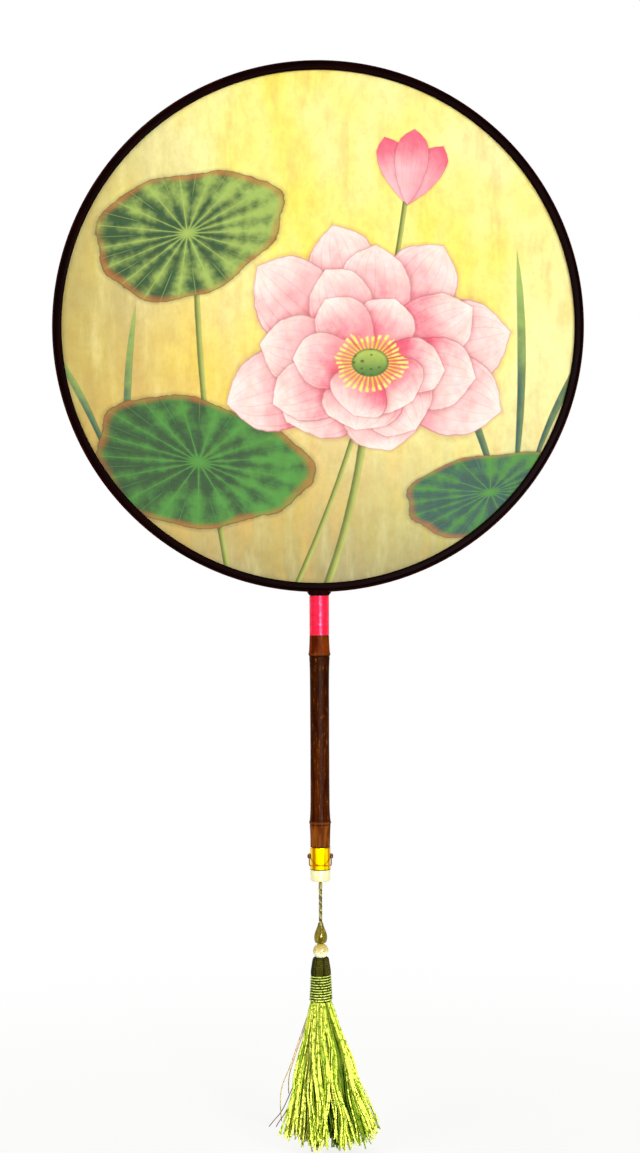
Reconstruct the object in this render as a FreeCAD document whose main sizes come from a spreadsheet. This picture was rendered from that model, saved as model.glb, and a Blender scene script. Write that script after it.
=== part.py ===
import FreeCAD, Part
import math
import os
import re

import Sketcher

# A round silk hand fan in millimetres. The handle stands along Z with the middle of its grip at the origin.
# The silk face is above it and looks along -Y, and the tassel hangs below the butt.

SIZES = {
    # Rim and silk
    "rim_diameter": 250.0,
    "band_thickness": 1.0,
    "band_depth": 4.2,
    "band_round": 0.4,
    "hoop_width": 3.3,
    "hoop_depth": 2.3,
    "hoop_round": 0.6,
    "silk_margin": 1.8,
    "silk_thickness": 0.16,
    "lining_thickness": 0.2,
    "glue_gap": 0.05,
    # Neck, from the rim down to the bare bamboo
    "spigot_diameter": 2.4,
    "spigot_end_gap": 0.3,
    "tang_length": 24.0,
    "collar_height": 1.6,
    "collar_width": 12.6,
    "collar_depth": 7.6,
    "cheek_height": 0.9,
    "neck_diameter": 7.9,
    "wrap_length": 18.8,
    "sleeve_thickness": 0.3,
    "thread_diameter": 0.34,
    "thread_gap": 0.41,
    "wound_gap": 0.03,
    "peg_diameter": 1.6,
    "peg_drop": 12.0,
    # Bamboo handle
    "stub_length": 8.9,
    "grip_length": 79.0,
    "butt_length": 11.7,
    "stub_top_diameter": 9.2,
    "stub_diameter": 9.8,
    "waist_diameter": 9.0,
    "shoulder_diameter": 9.5,
    "butt_diameter": 9.7,
    "butt_foot_diameter": 9.2,
    "node_diameter": 10.5,
    "node_height": 2.6,
    "flare_length": 14.0,
    "bore_diameter": 4.4,
    "node_wall": 2.2,
    "node_vent": 1.8,
    # Brass ferrule, its cross pin and the wire bail
    "ferrule_length": 10.6,
    "ferrule_diameter": 9.6,
    "ferrule_wall": 0.5,
    "ferrule_round": 0.3,
    "tenon_length": 6.6,
    "pin_drop": 4.3,
    "pin_diameter": 1.6,
    "pin_head_diameter": 2.4,
    "pin_head_height": 0.6,
    "hinge_gap": 0.05,
    "bail_wire": 0.5,
    "bail_drop": 3.8,
    "bail_rest_gap": 0.25,
    "bail_side_gap": 0.1,
    "bail_corner": 2.4,
    "eye_diameter": 2.8,
    "eye_thickness": 0.45,
    # End plug and the knots that hold the cord
    "plug_length": 5.4,
    "plug_diameter": 9.4,
    "plug_round": 1.0,
    "plug_tenon_length": 3.0,
    "cord_hole": 1.8,
    "stopper_diameter": 3.0,
    "stopper_height": 2.2,
    "hitch_diameter": 1.9,
    "hitch_length": 4.2,
    "hitch_round": 0.4,
    "swing_gap": 0.25,
    # Cord and beads
    "cord_diameter": 1.6,
    "drop_hang": 19.7,
    "drop_length": 9.4,
    "drop_diameter": 6.2,
    "drop_neck": 2.4,
    "drop_foot": 4.4,
    "drop_belly": 2.6,
    "pearl_diameter": 7.4,
    "bead_hole_gap": 0.08,
    "bead_gap": 0.1,
    "pearl_seat_gap": 0.3,
    # Tassel
    "pearl_nest": 1.3,
    "head_length": 8.0,
    "head_top_diameter": 7.6,
    "head_diameter": 9.8,
    "head_lip": 0.3,
    "cord_depth": 5.5,
    "neck_bind_length": 12.8,
    "bound_diameter": 8.7,
    "bound_low_diameter": 10.0,
    "binding_thread": 0.78,
    "binding_gap": 0.42,
    "skirt_length": 67.0,
    "skirt_width": 47.0,
    "skirt_depth": 36.0,
    "skirt_lean": 5.0,
}

# Heights of the main joints, written in the sizes above
WRAP_BOTTOM = "(grip_length / 2 + stub_length)"
CULM_TOP = f"({WRAP_BOTTOM} + wrap_length)"
RIM_BOTTOM = f"({CULM_TOP} + collar_height)"
FACE_CENTRE = f"({RIM_BOTTOM} + rim_diameter / 2)"
FERRULE_TOP = "(-grip_length / 2 - butt_length)"
FERRULE_BOTTOM = f"({FERRULE_TOP} - ferrule_length)"
PIN_HEIGHT = f"({FERRULE_TOP} - pin_drop)"
CORD_EXIT = f"({FERRULE_BOTTOM} - plug_length)"
FRONT_PIVOT = f"({CORD_EXIT} - swing_gap - hitch_diameter / 2)"
HITCH_BOTTOM = f"({CORD_EXIT} - swing_gap - hitch_length)"
SIDE_PIVOT = f"({HITCH_BOTTOM} - swing_gap - cord_diameter / 2)"
DROP_TOP = f"({CORD_EXIT} - drop_hang)"
DROP_BOTTOM = f"({DROP_TOP} - drop_length)"
PEARL_CENTRE = f"({DROP_BOTTOM} - bead_gap - pearl_diameter / 2)"
PEARL_BOTTOM = f"({PEARL_CENTRE} - pearl_diameter / 2)"
HEAD_TOP = f"({PEARL_BOTTOM} - pearl_seat_gap + pearl_nest)"
HEAD_BOTTOM = f"({HEAD_TOP} - head_length)"
NECK_BOTTOM = f"({HEAD_BOTTOM} - neck_bind_length)"

# Radii that neighbouring pieces share
RIM_RADIUS = "rim_diameter / 2"
HOOP_OUTER = "(rim_diameter / 2 - band_thickness - glue_gap)"
HOOP_INNER = "(rim_diameter / 2 - band_thickness - hoop_width)"
SILK_RADIUS = f"({HOOP_INNER} + silk_margin)"
STACK_HALF = "(silk_thickness + lining_thickness / 2)"
SPIGOT_DEPTH = "(band_thickness + hoop_width - silk_margin - spigot_end_gap)"
SLEEVE_RADIUS = "(neck_diameter / 2 + glue_gap + sleeve_thickness)"
WRAP_RADIUS = f"({SLEEVE_RADIUS} + wound_gap + thread_diameter)"
FERRULE_BORE = "(ferrule_diameter / 2 - ferrule_wall)"
TENON_RADIUS = f"({FERRULE_BORE} - glue_gap)"
BEAD_BORE = "(cord_diameter / 2 + bead_hole_gap)"
EYE_MIDDLE = "(ferrule_diameter / 2 + bail_side_gap + bail_wire / 2)"

# The tassel's skirt, from its bound neck down: shares of its length, its spread and its lean
SKIRT_FLUTES = 18
SKIRT_FALL_SHARES = (0.0, 0.11, 0.33, 0.64, 0.85, 1.0)
SKIRT_SPREAD_SHARES = (0.26, 0.34, 0.50, 0.73, 0.93, 1.0)
SKIRT_LEAN_SHARES = (0.0, 0.1, 0.36, 0.68, 0.88, 1.0)
FLUTE_DEPTH_SHARE = 0.07

ACROSS = FreeCAD.Vector(1, 0, 0)
BACKWARD = FreeCAD.Vector(0, 1, 0)
UPWARD = FreeCAD.Vector(0, 0, 1)
QUARTER_TURN = 90
SAMPLES_PER_TURN = 32

doc = FreeCAD.newDocument("round_silk_fan")
sheet = doc.addObject("Spreadsheet::Sheet", "sizes")
for row, (size_name, millimetres) in enumerate(SIZES.items(), start=1):
    sheet.set(f"A{row}", size_name)
    sheet.set(f"B{row}", str(millimetres))
    sheet.setAlias(f"B{row}", size_name)
doc.recompute()


def bound(text):
    """Write a sum of size names as an expression on the sheet's cells."""
    return re.sub(r"[a-z]\w+", lambda word: "sizes." + word[0] if word[0] in SIZES else word[0], text)


def size(text):
    """Work out a sum of size names in millimetres."""
    result = sheet.evalExpression(bound(text))
    return float(getattr(result, "Value", result))


def set_size(piece, **sums):
    """Bind properties of a piece to sums of size names."""
    for name, text in sums.items():
        piece.setExpression(name, bound(text))


def seat(piece, x="0", y="0", z="0", axis=UPWARD, angle=0):
    """Place a piece, turned about an axis, where sums of size names say."""
    piece.Placement = FreeCAD.Placement(FreeCAD.Vector(), FreeCAD.Rotation(axis, angle))
    for letter, text in (("x", x), ("y", y), ("z", z)):
        piece.setExpression(f"Placement.Base.{letter}", bound(text))
    return piece


def arc_middle(start, end, manner):
    """Find the middle of an arc whose centre is level or plumb with its start or its end."""
    direction, anchor = manner.split()
    near, far = (start, end) if anchor == "start" else (end, start)
    chord = far - near
    square = chord.x ** 2 + chord.y ** 2
    offset = (square / (2 * chord.x), 0) if direction == "level" else (0, square / (2 * chord.y))
    centre = near + FreeCAD.Vector(*offset, 0)
    bisector = (start - centre) + (end - centre)
    return centre + bisector.normalize() * (start - centre).Length


def pin_corner(sketch, edge, position, corner):
    """Hold a corner at its named distances from the sketch's origin."""
    for kind, text, axis in (("DistanceX", corner[0], -2), ("DistanceY", corner[1], -1)):
        if text == "0":
            sketch.addConstraint(Sketcher.Constraint("PointOnObject", edge, position, axis))
        else:
            number = sketch.addConstraint(Sketcher.Constraint(kind, -1, 1, edge, position, size(text)))
            sketch.setExpression(f"Constraints[{number}]", bound(text))


def draw_outline(sketch, corners, closed=True):
    """Draw lines through corners given as (across, up). A third word makes the edge to a corner an arc."""
    points = [FreeCAD.Vector(size(corner[0]), size(corner[1]), 0) for corner in corners]
    edges = []
    for index in range(len(corners) if closed else len(corners) - 1):
        following = (index + 1) % len(corners)
        start, end = points[index], points[following]
        manner = corners[following][2] if len(corners[following]) > 2 else None
        if manner is None:
            edges.append((sketch.addGeometry(Part.LineSegment(start, end), False), 1, 2))
        else:
            arc = sketch.addGeometry(Part.Arc(start, arc_middle(start, end, manner), end), False)
            first, second = (sketch.getPoint(arc, tip).distanceToPoint(start) for tip in (1, 2))
            edges.append((arc, 1, 2) if first < second else (arc, 2, 1))
            direction, anchor = manner.split()
            kind = "Horizontal" if direction == "level" else "Vertical"
            near = edges[-1][1] if anchor == "start" else edges[-1][2]
            sketch.addConstraint(Sketcher.Constraint(kind, arc, 3, arc, near))
    for (edge, _, end), (after, start, _) in zip(edges, edges[1:] + edges[:1] if closed else edges[1:]):
        sketch.addConstraint(Sketcher.Constraint("Coincident", edge, end, after, start))
    for (edge, start, _), corner in zip(edges, corners):
        pin_corner(sketch, edge, start, corner)
    if not closed:
        pin_corner(sketch, edges[-1][0], edges[-1][2], corners[-1])


def new_sketch(body, name, plane_role):
    """Add a sketch on one of the body's own origin planes."""
    sketch = body.newObject("Sketcher::SketchObject", name)
    plane = next(feature for feature in body.Origin.OriginFeatures if feature.Role == plane_role)
    sketch.AttachmentSupport = (plane, [""])
    sketch.MapMode = "FlatFace"
    return sketch


def draw_circle(sketch, across, up, radius):
    """Draw a circle with a named place and radius."""
    centre = FreeCAD.Vector(size(across), size(up), 0)
    circle = sketch.addGeometry(Part.Circle(centre, UPWARD, size(radius)), False)
    pin_corner(sketch, circle, 3, (across, up))
    number = sketch.addConstraint(Sketcher.Constraint("Radius", circle, size(radius)))
    sketch.setExpression(f"Constraints[{number}]", bound(radius))


def turned(label, corners):
    """Turn an outline, given as (radius, height), about the body's Z axis."""
    body = doc.addObject("PartDesign::Body", label)
    outline = new_sketch(body, f"{label}_outline", "XZ_Plane")
    draw_outline(outline, corners)
    turn = body.newObject("PartDesign::Revolution", f"{label}_turn")
    turn.Profile = outline
    turn.ReferenceAxis = (outline, ["V_Axis"])
    turn.Angle = 360
    body.Tip = turn
    return body


def cylinder(label, radius, height):
    """Make a plain cylinder of named radius and height."""
    piece = doc.addObject("Part::Cylinder", label)
    set_size(piece, Radius=radius, Height=height)
    return piece


def cut(label, base, *tools):
    """Cut one tool after another out of a piece."""
    for number, tool in enumerate(tools, start=1):
        result = doc.addObject("Part::Cut", label if number == len(tools) else f"{label}_cut_{number}")
        result.Base = base
        result.Tool = tool
        base = result
    return base


def biarc(start, start_way, end, end_way):
    """Join two points by two arcs that leave and arrive along the given directions."""
    chord = end - start
    ways = start_way + end_way
    spread = 2 * (1 - start_way.dot(end_way))
    along = chord.dot(ways)
    reach = (math.sqrt(along ** 2 + spread * chord.dot(chord)) - along) / spread
    joint = (start + end + (start_way - end_way) * reach) * 0.5
    arcs = []
    for tip, way, other in ((start, start_way, joint), (end, end_way * -1, joint)):
        line = other - tip
        across = (line - way * line.dot(way)).normalize()
        radius = line.dot(line) / (2 * line.dot(across))
        centre = tip + across * radius
        middle = centre + ((tip - centre) + (other - centre)).normalize() * radius
        arcs.append((tip, middle, other))
    first, last = arcs
    return [Part.Arc(*first).toShape(), Part.Arc(*reversed(last)).toShape()]


def helix_point(turn, pitch, low_radius, widening):
    """A point of a helix that may widen as it climbs, and its direction there."""
    angle = 2 * math.pi * turn
    radius = low_radius + widening * turn
    outward = FreeCAD.Vector(math.cos(angle), math.sin(angle), 0)
    sideways = FreeCAD.Vector(-math.sin(angle), math.cos(angle), 0)
    place = outward * radius + UPWARD * (pitch * turn)
    way = outward * (widening / (2 * math.pi)) + sideways * radius + UPWARD * (pitch / (2 * math.pi))
    return place, way.normalize()


def winding(label, length, thread, gap, low_radius, high_radius, z):
    """Wind one unbroken thread round a core, between a low and a high radius of its middle line."""
    thread_size = size(thread)
    wound_length = size(length) - thread_size
    turns = int(wound_length / (thread_size + size(gap)))
    pitch = wound_length / turns
    widening = (size(high_radius) - size(low_radius)) / turns
    quarters = [helix_point(number / 4, pitch, size(low_radius), widening)
                for number in range(4 * turns + 1)]
    (first, first_way), (last, last_way) = quarters[0], quarters[-1]
    edges = [Part.LineSegment(first - first_way * thread_size, first).toShape()]
    for (start, start_way), (end, end_way) in zip(quarters, quarters[1:]):
        edges += biarc(start, start_way, end, end_way)
    edges.append(Part.LineSegment(last, last + last_way * thread_size).toShape())
    section = Part.Wire(Part.makeCircle(thread_size / 2, first - first_way * thread_size, first_way))
    pipe = Part.BRepOffsetAPI.MakePipeShell(Part.Wire(edges))
    pipe.add(section)
    pipe.build()
    pipe.makeSolid()
    piece = doc.addObject("Part::Feature", label)
    piece.Shape = pipe.shape()
    seat(piece, z=f"{z} + {thread} / 2")
    points = [helix_point(number / SAMPLES_PER_TURN, pitch, size(low_radius), widening)[0]
              for number in range(turns * SAMPLES_PER_TURN + 1)]
    least = min(point.distanceToPoint(other)
                for number, point in enumerate(points)
                for other in points[number + SAMPLES_PER_TURN // 2:number + 2 * SAMPLES_PER_TURN])
    run = sum(edge.Length for edge in edges)
    tube_volume = math.pi * thread_size ** 2 / 4 * run
    print(f"{label}: {turns} turns, least gap {least - thread_size:.3f}, volume {piece.Shape.Volume:.2f} "
          f"against {tube_volume:.2f} for {run:.0f} of thread")
    return piece


def rim_hoop(label, angle):
    """Half of the rim, a bent strip with a rebate that grips the edge of the silk."""
    rebate = f"({SILK_RADIUS} + glue_gap)"
    hoop = turned(f"{label}_strip", [
        (HOOP_INNER, STACK_HALF),
        (rebate, STACK_HALF),
        (rebate, "0"),
        (HOOP_OUTER, "0"),
        (HOOP_OUTER, "hoop_depth - hoop_round"),
        (f"{HOOP_OUTER} - hoop_round", "hoop_depth", "level start"),
        (f"{HOOP_INNER} + hoop_round", "hoop_depth"),
        (HOOP_INNER, "hoop_depth - hoop_round", "level end"),
    ])
    seat(hoop, z=FACE_CENTRE, axis=ACROSS, angle=angle)
    return cut(label, hoop, spigot_bore)


def rim_edge_band():
    """The thin strip round the outside that closes the seam between the two hoops."""
    inner = "(rim_diameter / 2 - band_thickness)"
    band = turned("rim_edge_band_strip", [
        (inner, "0"),
        (f"{RIM_RADIUS} - band_round", "0"),
        (RIM_RADIUS, "band_round", "level end"),
        (RIM_RADIUS, "band_depth - band_round"),
        (f"{RIM_RADIUS} - band_round", "band_depth", "level start"),
        (inner, "band_depth"),
    ])
    seat(band, y="band_depth / 2", z=FACE_CENTRE, axis=ACROSS, angle=QUARTER_TURN)
    return cut("rim_edge_band", band, spigot_bore)


def silk_layers():
    """Two faces of silk on a paper lining, held between the hoops."""
    layers = []
    for label, thickness, back in (
        ("painted_silk", "silk_thickness", "-lining_thickness / 2"),
        ("silk_lining", "lining_thickness", "lining_thickness / 2"),
        ("back_silk", "silk_thickness", STACK_HALF),
    ):
        layer = cylinder(label, SILK_RADIUS, thickness)
        layers.append(seat(layer, y=back, z=FACE_CENTRE, axis=ACROSS, angle=QUARTER_TURN))
    return layers


def hoop_tang():
    """The tongue glued in the handle's bore, whose spigot carries the rim."""
    shank = "(bore_diameter / 2 - glue_gap)"
    top = f"(tang_length + collar_height + {SPIGOT_DEPTH})"
    tang = turned("hoop_tang_rod", [
        ("0", "0"),
        (shank, "0"),
        (shank, "tang_length"),
        ("spigot_diameter / 2", "tang_length"),
        ("spigot_diameter / 2", top),
        ("0", top),
    ])
    seat(tang, z=f"{CULM_TOP} - tang_length")
    return cut("hoop_tang", tang, peg_bore)


def neck_collar():
    """The flared collar between the handle and the rim, with a cheek before and behind the rim."""
    foot = doc.addObject("Part::Circle", "collar_foot")
    set_size(foot, Radius=WRAP_RADIUS)
    seat(foot, z=CULM_TOP)
    mouth = doc.addObject("Part::Ellipse", "collar_mouth")
    set_size(mouth, MajorRadius="collar_width / 2", MinorRadius="collar_depth / 2")
    seat(mouth, z=f"{RIM_BOTTOM} + cheek_height")
    flare = doc.addObject("Part::Loft", "collar_flare")
    flare.Sections = [foot, mouth]
    flare.Solid = True
    rim_space = cylinder("collar_rim_space", f"{RIM_RADIUS} + glue_gap", "2 * hoop_depth + 2 * glue_gap")
    seat(rim_space, y="hoop_depth + glue_gap", z=FACE_CENTRE, axis=ACROSS, angle=QUARTER_TURN)
    return cut("neck_collar", flare, rim_space, spigot_bore)


def bamboo_handle():
    """The culm with two nodes, a tenon for the ferrule and a pared neck for the thread wrap."""
    lower_node = "(tenon_length + butt_length)"
    upper_node = f"({lower_node} + grip_length)"
    wrap_foot = f"({upper_node} + stub_length)"
    top = f"({wrap_foot} + wrap_length)"
    outside = [
        (TENON_RADIUS, "0"),
        (TENON_RADIUS, "tenon_length"),
        ("butt_foot_diameter / 2", "tenon_length"),
        ("butt_diameter / 2", f"{lower_node} - node_height / 2"),
        ("node_diameter / 2", lower_node, "level end"),
        ("shoulder_diameter / 2", f"{lower_node} + node_height / 2", "level start"),
        ("waist_diameter / 2", f"{lower_node} + flare_length", "level end"),
        ("waist_diameter / 2", f"{upper_node} - flare_length"),
        ("shoulder_diameter / 2", f"{upper_node} - node_height / 2", "level start"),
        ("node_diameter / 2", upper_node, "level end"),
        ("stub_diameter / 2", f"{upper_node} + node_height / 2", "level start"),
        ("stub_top_diameter / 2", wrap_foot),
        ("neck_diameter / 2", wrap_foot),
        ("neck_diameter / 2", top),
    ]
    # The upper wall lies at its node, or below the tang where that reaches further down
    upper_wall = f"min({upper_node} + node_wall / 2; {top} - tang_length - spigot_end_gap)"
    lower_wall = f"{lower_node} + node_wall / 2"
    inside = [("bore_diameter / 2", top)]
    for wall_top in (upper_wall, lower_wall):
        inside += [
            ("bore_diameter / 2", wall_top),
            ("node_vent / 2", wall_top),
            ("node_vent / 2", f"{wall_top} - node_wall"),
            ("bore_diameter / 2", f"{wall_top} - node_wall"),
        ]
    inside.append(("bore_diameter / 2", "0"))
    culm = turned("bamboo_culm", outside + inside)
    seat(culm, z=f"{FERRULE_TOP} - tenon_length")
    return cut("bamboo_handle", culm, pin_bore, peg_bore)


def tang_peg():
    """The bamboo peg through the neck and the tang, hidden under the wrap."""
    peg = cylinder("tang_peg", "peg_diameter / 2", "neck_diameter")
    return seat(peg, y="neck_diameter / 2", z=f"{CULM_TOP} - peg_drop", axis=ACROSS, angle=QUARTER_TURN)


def wrap_sleeve():
    """The paper sleeve on the neck, which the red thread is wound over."""
    sleeve = cylinder("wrap_sleeve_outside", SLEEVE_RADIUS, "wrap_length")
    bore = cylinder("wrap_sleeve_inside", "neck_diameter / 2 + glue_gap", "wrap_length")
    for piece in (sleeve, bore):
        seat(piece, z=WRAP_BOTTOM)
    return cut("wrap_sleeve", sleeve, bore)


def red_thread_wrap():
    """The red thread wound round the neck."""
    middle = f"({SLEEVE_RADIUS} + wound_gap + thread_diameter / 2)"
    return winding("red_thread_wrap", "wrap_length", "thread_diameter", "thread_gap",
                   middle, middle, WRAP_BOTTOM)


def brass_ferrule():
    """The brass tube that joins the bamboo and the end plug."""
    radius = "ferrule_diameter / 2"
    tube = turned("ferrule_tube", [
        (FERRULE_BORE, "0"),
        (f"{radius} - ferrule_round", "0"),
        (radius, "ferrule_round", "level end"),
        (radius, "ferrule_length - ferrule_round"),
        (f"{radius} - ferrule_round", "ferrule_length", "level start"),
        (FERRULE_BORE, "ferrule_length"),
    ])
    seat(tube, z=FERRULE_BOTTOM)
    return cut("brass_ferrule", tube, pin_bore)


def cross_pin():
    """The pin through the ferrule, whose domed heads keep the bail's eyes on."""
    seat_height = f"({EYE_MIDDLE} + bail_wire / 2 + bail_side_gap)"
    end = f"({seat_height} + pin_head_height)"
    pin = turned("cross_pin", [
        ("0", f"-{end}"),
        ("pin_head_diameter / 2", f"-{seat_height}", "plumb start"),
        ("pin_diameter / 2", f"-{seat_height}"),
        ("pin_diameter / 2", seat_height),
        ("pin_head_diameter / 2", seat_height),
        ("0", end, "plumb end"),
    ])
    return seat(pin, z=PIN_HEIGHT, axis=BACKWARD, angle=QUARTER_TURN)


def hanging_bail():
    """The wire loop on the cross pin, leaning on the front of the ferrule."""
    rest = "(ferrule_diameter / 2 + bail_rest_gap + bail_wire / 2)"
    arm = f"sqrt({rest}^2 + bail_drop^2)"
    body = doc.addObject("PartDesign::Body", "hanging_bail")
    path = new_sketch(body, "bail_path", "XZ_Plane")
    draw_outline(path, [
        (f"-{EYE_MIDDLE}", "0"),
        (f"-{EYE_MIDDLE}", f"bail_corner - {arm}"),
        (f"bail_corner - {EYE_MIDDLE}", f"-{arm}", "level start"),
        (f"{EYE_MIDDLE} - bail_corner", f"-{arm}"),
        (EYE_MIDDLE, f"bail_corner - {arm}", "plumb start"),
        (EYE_MIDDLE, "0"),
    ], closed=False)
    section = new_sketch(body, "bail_section", "XY_Plane")
    draw_circle(section, f"-{EYE_MIDDLE}", "0", "bail_wire / 2")
    wire = body.newObject("PartDesign::AdditivePipe", "bail_loop")
    wire.Profile = section
    wire.Spine = path
    body.Tip = wire
    for name, side in (("left_eye", "-"), ("right_eye", "")):
        ring = new_sketch(body, f"bail_{name}_outline", "YZ_Plane")
        ring.setExpression("AttachmentOffset.Base.z", bound(f"{side}{EYE_MIDDLE}"))
        draw_circle(ring, "0", "0", "eye_diameter / 2")
        eye = body.newObject("PartDesign::Pad", f"bail_{name}")
        eye.Profile = ring
        eye.Midplane = True
        set_size(eye, Length="eye_thickness")
        body.Tip = eye
    hole = new_sketch(body, "bail_hole_outline", "YZ_Plane")
    draw_circle(hole, "0", "0", "pin_diameter / 2 + hinge_gap")
    bore = body.newObject("PartDesign::Pocket", "bail_hole")
    bore.Profile = hole
    bore.Midplane = True
    bore.Type = "ThroughAll"
    body.Tip = bore
    seat(body, z=PIN_HEIGHT, axis=ACROSS)
    body.setExpression("Placement.Rotation.Angle", bound(f"-atan2({rest}; bail_drop)"))
    return body


def bone_end_plug():
    """The pale plug in the ferrule's mouth, with the hole that the cord comes out of."""
    radius = "plug_diameter / 2"
    top = "(plug_length + plug_tenon_length)"
    plug = turned("bone_end_plug", [
        ("cord_hole / 2", "0"),
        (f"{radius} - plug_round", "0"),
        (radius, "plug_round", "level end"),
        (radius, "plug_length"),
        (TENON_RADIUS, "plug_length"),
        (TENON_RADIUS, top),
        ("cord_hole / 2", top),
    ])
    return seat(plug, z=CORD_EXIT)


def stopper_knot():
    """The knot above the plug, with the cord's own stretch in the plug's hole."""
    stem = "(plug_length + plug_tenon_length)"
    cord = "cord_diameter / 2"
    knot = turned("stopper_knot", [
        ("0", "0"),
        (cord, "0"),
        (cord, stem),
        ("stopper_diameter / 2 - hitch_round", stem),
        ("stopper_diameter / 2", f"{stem} + stopper_height / 2", "level end"),
        ("0", f"{stem} + stopper_height", "plumb end"),
    ])
    return seat(knot, z=CORD_EXIT)


def cord_hitch_knot():
    """The small whipped knot just under the plug, which the cord swings from."""
    radius = "hitch_diameter / 2"
    knot = turned("cord_hitch_knot", [
        ("0", "0"),
        (f"{radius} - hitch_round", "0"),
        (radius, "hitch_round", "level end"),
        (radius, f"hitch_length - {radius}"),
        ("0", "hitch_length", "level start"),
    ])
    return seat(knot, z=HITCH_BOTTOM)


def hanging_cord():
    """The straight cord from the hitch knot through both beads into the tassel's head."""
    radius = "cord_diameter / 2"
    foot = f"({HEAD_TOP} - cord_depth)"
    shoulder = f"({SIDE_PIVOT} - {foot})"
    cord = turned("hanging_cord", [
        ("0", "0"),
        (radius, "0"),
        (radius, shoulder),
        ("0", f"{shoulder} + {radius}", "level start"),
    ])
    return seat(cord, z=foot)


def drop_bead():
    """The smoky drop-shaped bead."""
    bead = turned("drop_bead", [
        (BEAD_BORE, "0"),
        ("drop_foot / 2", "0"),
        ("drop_diameter / 2", "drop_belly", "level end"),
        ("drop_neck / 2", "drop_length", "level start"),
        (BEAD_BORE, "drop_length"),
    ])
    return seat(bead, z=DROP_BOTTOM)


def pearl_bead():
    """The pearl bead that sits in the tassel's head."""
    ball = doc.addObject("Part::Sphere", "pearl_ball")
    set_size(ball, Radius="pearl_diameter / 2")
    bore = cylinder("pearl_bore", BEAD_BORE, "2 * pearl_diameter")
    seat(ball, z=PEARL_CENTRE)
    seat(bore, z=f"{PEARL_CENTRE} - pearl_diameter")
    return cut("pearl_bead", ball, bore)


def tassel_head():
    """The folded top of the tassel, dished for the pearl and bored for the cord."""
    body = turned("tassel_head_bundle", [
        ("0", "0"),
        ("head_diameter / 2", "0"),
        ("head_top_diameter / 2", "head_length - head_lip", "level start"),
        ("head_top_diameter / 2 - head_lip", "head_length", "level start"),
        ("0", "head_length"),
    ])
    seat(body, z=HEAD_BOTTOM)
    dish = doc.addObject("Part::Sphere", "tassel_head_dish")
    set_size(dish, Radius="pearl_diameter / 2 + pearl_seat_gap")
    seat(dish, z=PEARL_CENTRE)
    bore = cylinder("tassel_head_bore", "cord_diameter / 2 + hinge_gap", "cord_depth + hinge_gap")
    seat(bore, z=f"{HEAD_TOP} - cord_depth - hinge_gap")
    return cut("tassel_head", body, dish, bore)


def tassel_neck():
    """The bundle of threads under the binding."""
    neck = doc.addObject("Part::Cone", "tassel_neck")
    set_size(neck, Radius1="bound_low_diameter / 2", Radius2="bound_diameter / 2")
    set_size(neck, Height="neck_bind_length")
    return seat(neck, z=NECK_BOTTOM)


def tassel_binding():
    """The pale thread bound round the tassel's neck."""
    stand_off = "(wound_gap + binding_thread / 2)"
    low = f"(bound_low_diameter / 2 + {stand_off})"
    high = f"(bound_diameter / 2 + {stand_off})"
    return winding("tassel_binding", "neck_bind_length", "binding_thread", "binding_gap",
                   low, high, NECK_BOTTOM)


def fluted_ring(half_width, half_depth, middle, height):
    """A closed ring of shallow arcs, the outline of the skirt's main folds at one height."""
    corners = []
    for number in range(2 * SKIRT_FLUTES):
        angle = math.pi * number / SKIRT_FLUTES
        reach = 1 - FLUTE_DEPTH_SHARE * (number % 2 == 0)
        corners.append(FreeCAD.Vector(middle + half_width * reach * math.cos(angle),
                                      half_depth * reach * math.sin(angle), height))
    arcs = [Part.Arc(corners[number], corners[number + 1], corners[(number + 2) % len(corners)]).toShape()
            for number in range(0, len(corners), 2)]
    return Part.Wire(arcs)


def tassel_skirt():
    """The hanging threads of the tassel as one fluted, slightly leaning skirt."""
    rings = [
        fluted_ring(size("skirt_width") / 2 * spread, size("skirt_depth") / 2 * spread,
                    size("skirt_lean") * lean, -size("skirt_length") * fall)
        for fall, spread, lean in zip(SKIRT_FALL_SHARES, SKIRT_SPREAD_SHARES, SKIRT_LEAN_SHARES)
    ]
    skirt = doc.addObject("Part::Feature", "tassel_skirt")
    skirt.Shape = Part.makeLoft(rings, True)
    return seat(skirt, z=NECK_BOTTOM)


# Bores that several pieces share
spigot_bore = cylinder("spigot_bore", "spigot_diameter / 2 + glue_gap",
                       f"collar_height + {SPIGOT_DEPTH} + glue_gap")
seat(spigot_bore, z=CULM_TOP)
pin_bore = cylinder("pin_bore", "pin_diameter / 2 + glue_gap", "2 * ferrule_diameter")
seat(pin_bore, x="-ferrule_diameter", z=PIN_HEIGHT, axis=BACKWARD, angle=QUARTER_TURN)
peg_bore = cylinder("peg_bore", "peg_diameter / 2 + glue_gap", "2 * neck_diameter")
seat(peg_bore, y="neck_diameter", z=f"{CULM_TOP} - peg_drop", axis=ACROSS, angle=QUARTER_TURN)

pieces = [
    rim_edge_band(),
    rim_hoop("front_rim_hoop", QUARTER_TURN),
    rim_hoop("back_rim_hoop", -QUARTER_TURN),
    *silk_layers(),
    hoop_tang(),
    neck_collar(),
    bamboo_handle(),
    tang_peg(),
    wrap_sleeve(),
    red_thread_wrap(),
    brass_ferrule(),
    cross_pin(),
    hanging_bail(),
    bone_end_plug(),
    stopper_knot(),
    cord_hitch_knot(),
    hanging_cord(),
    drop_bead(),
    pearl_bead(),
    tassel_head(),
    tassel_neck(),
    tassel_binding(),
    tassel_skirt(),
]
doc.recompute()

failed = [item.Name for item in doc.Objects if {"Invalid", "Error"} & set(item.State)]
failed += [piece.Label for piece in pieces
           if piece.Shape.isNull() or not piece.Shape.isValid() or len(piece.Shape.Solids) != 1]
if failed:
    raise RuntimeError("these did not build: " + ", ".join(failed))

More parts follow.
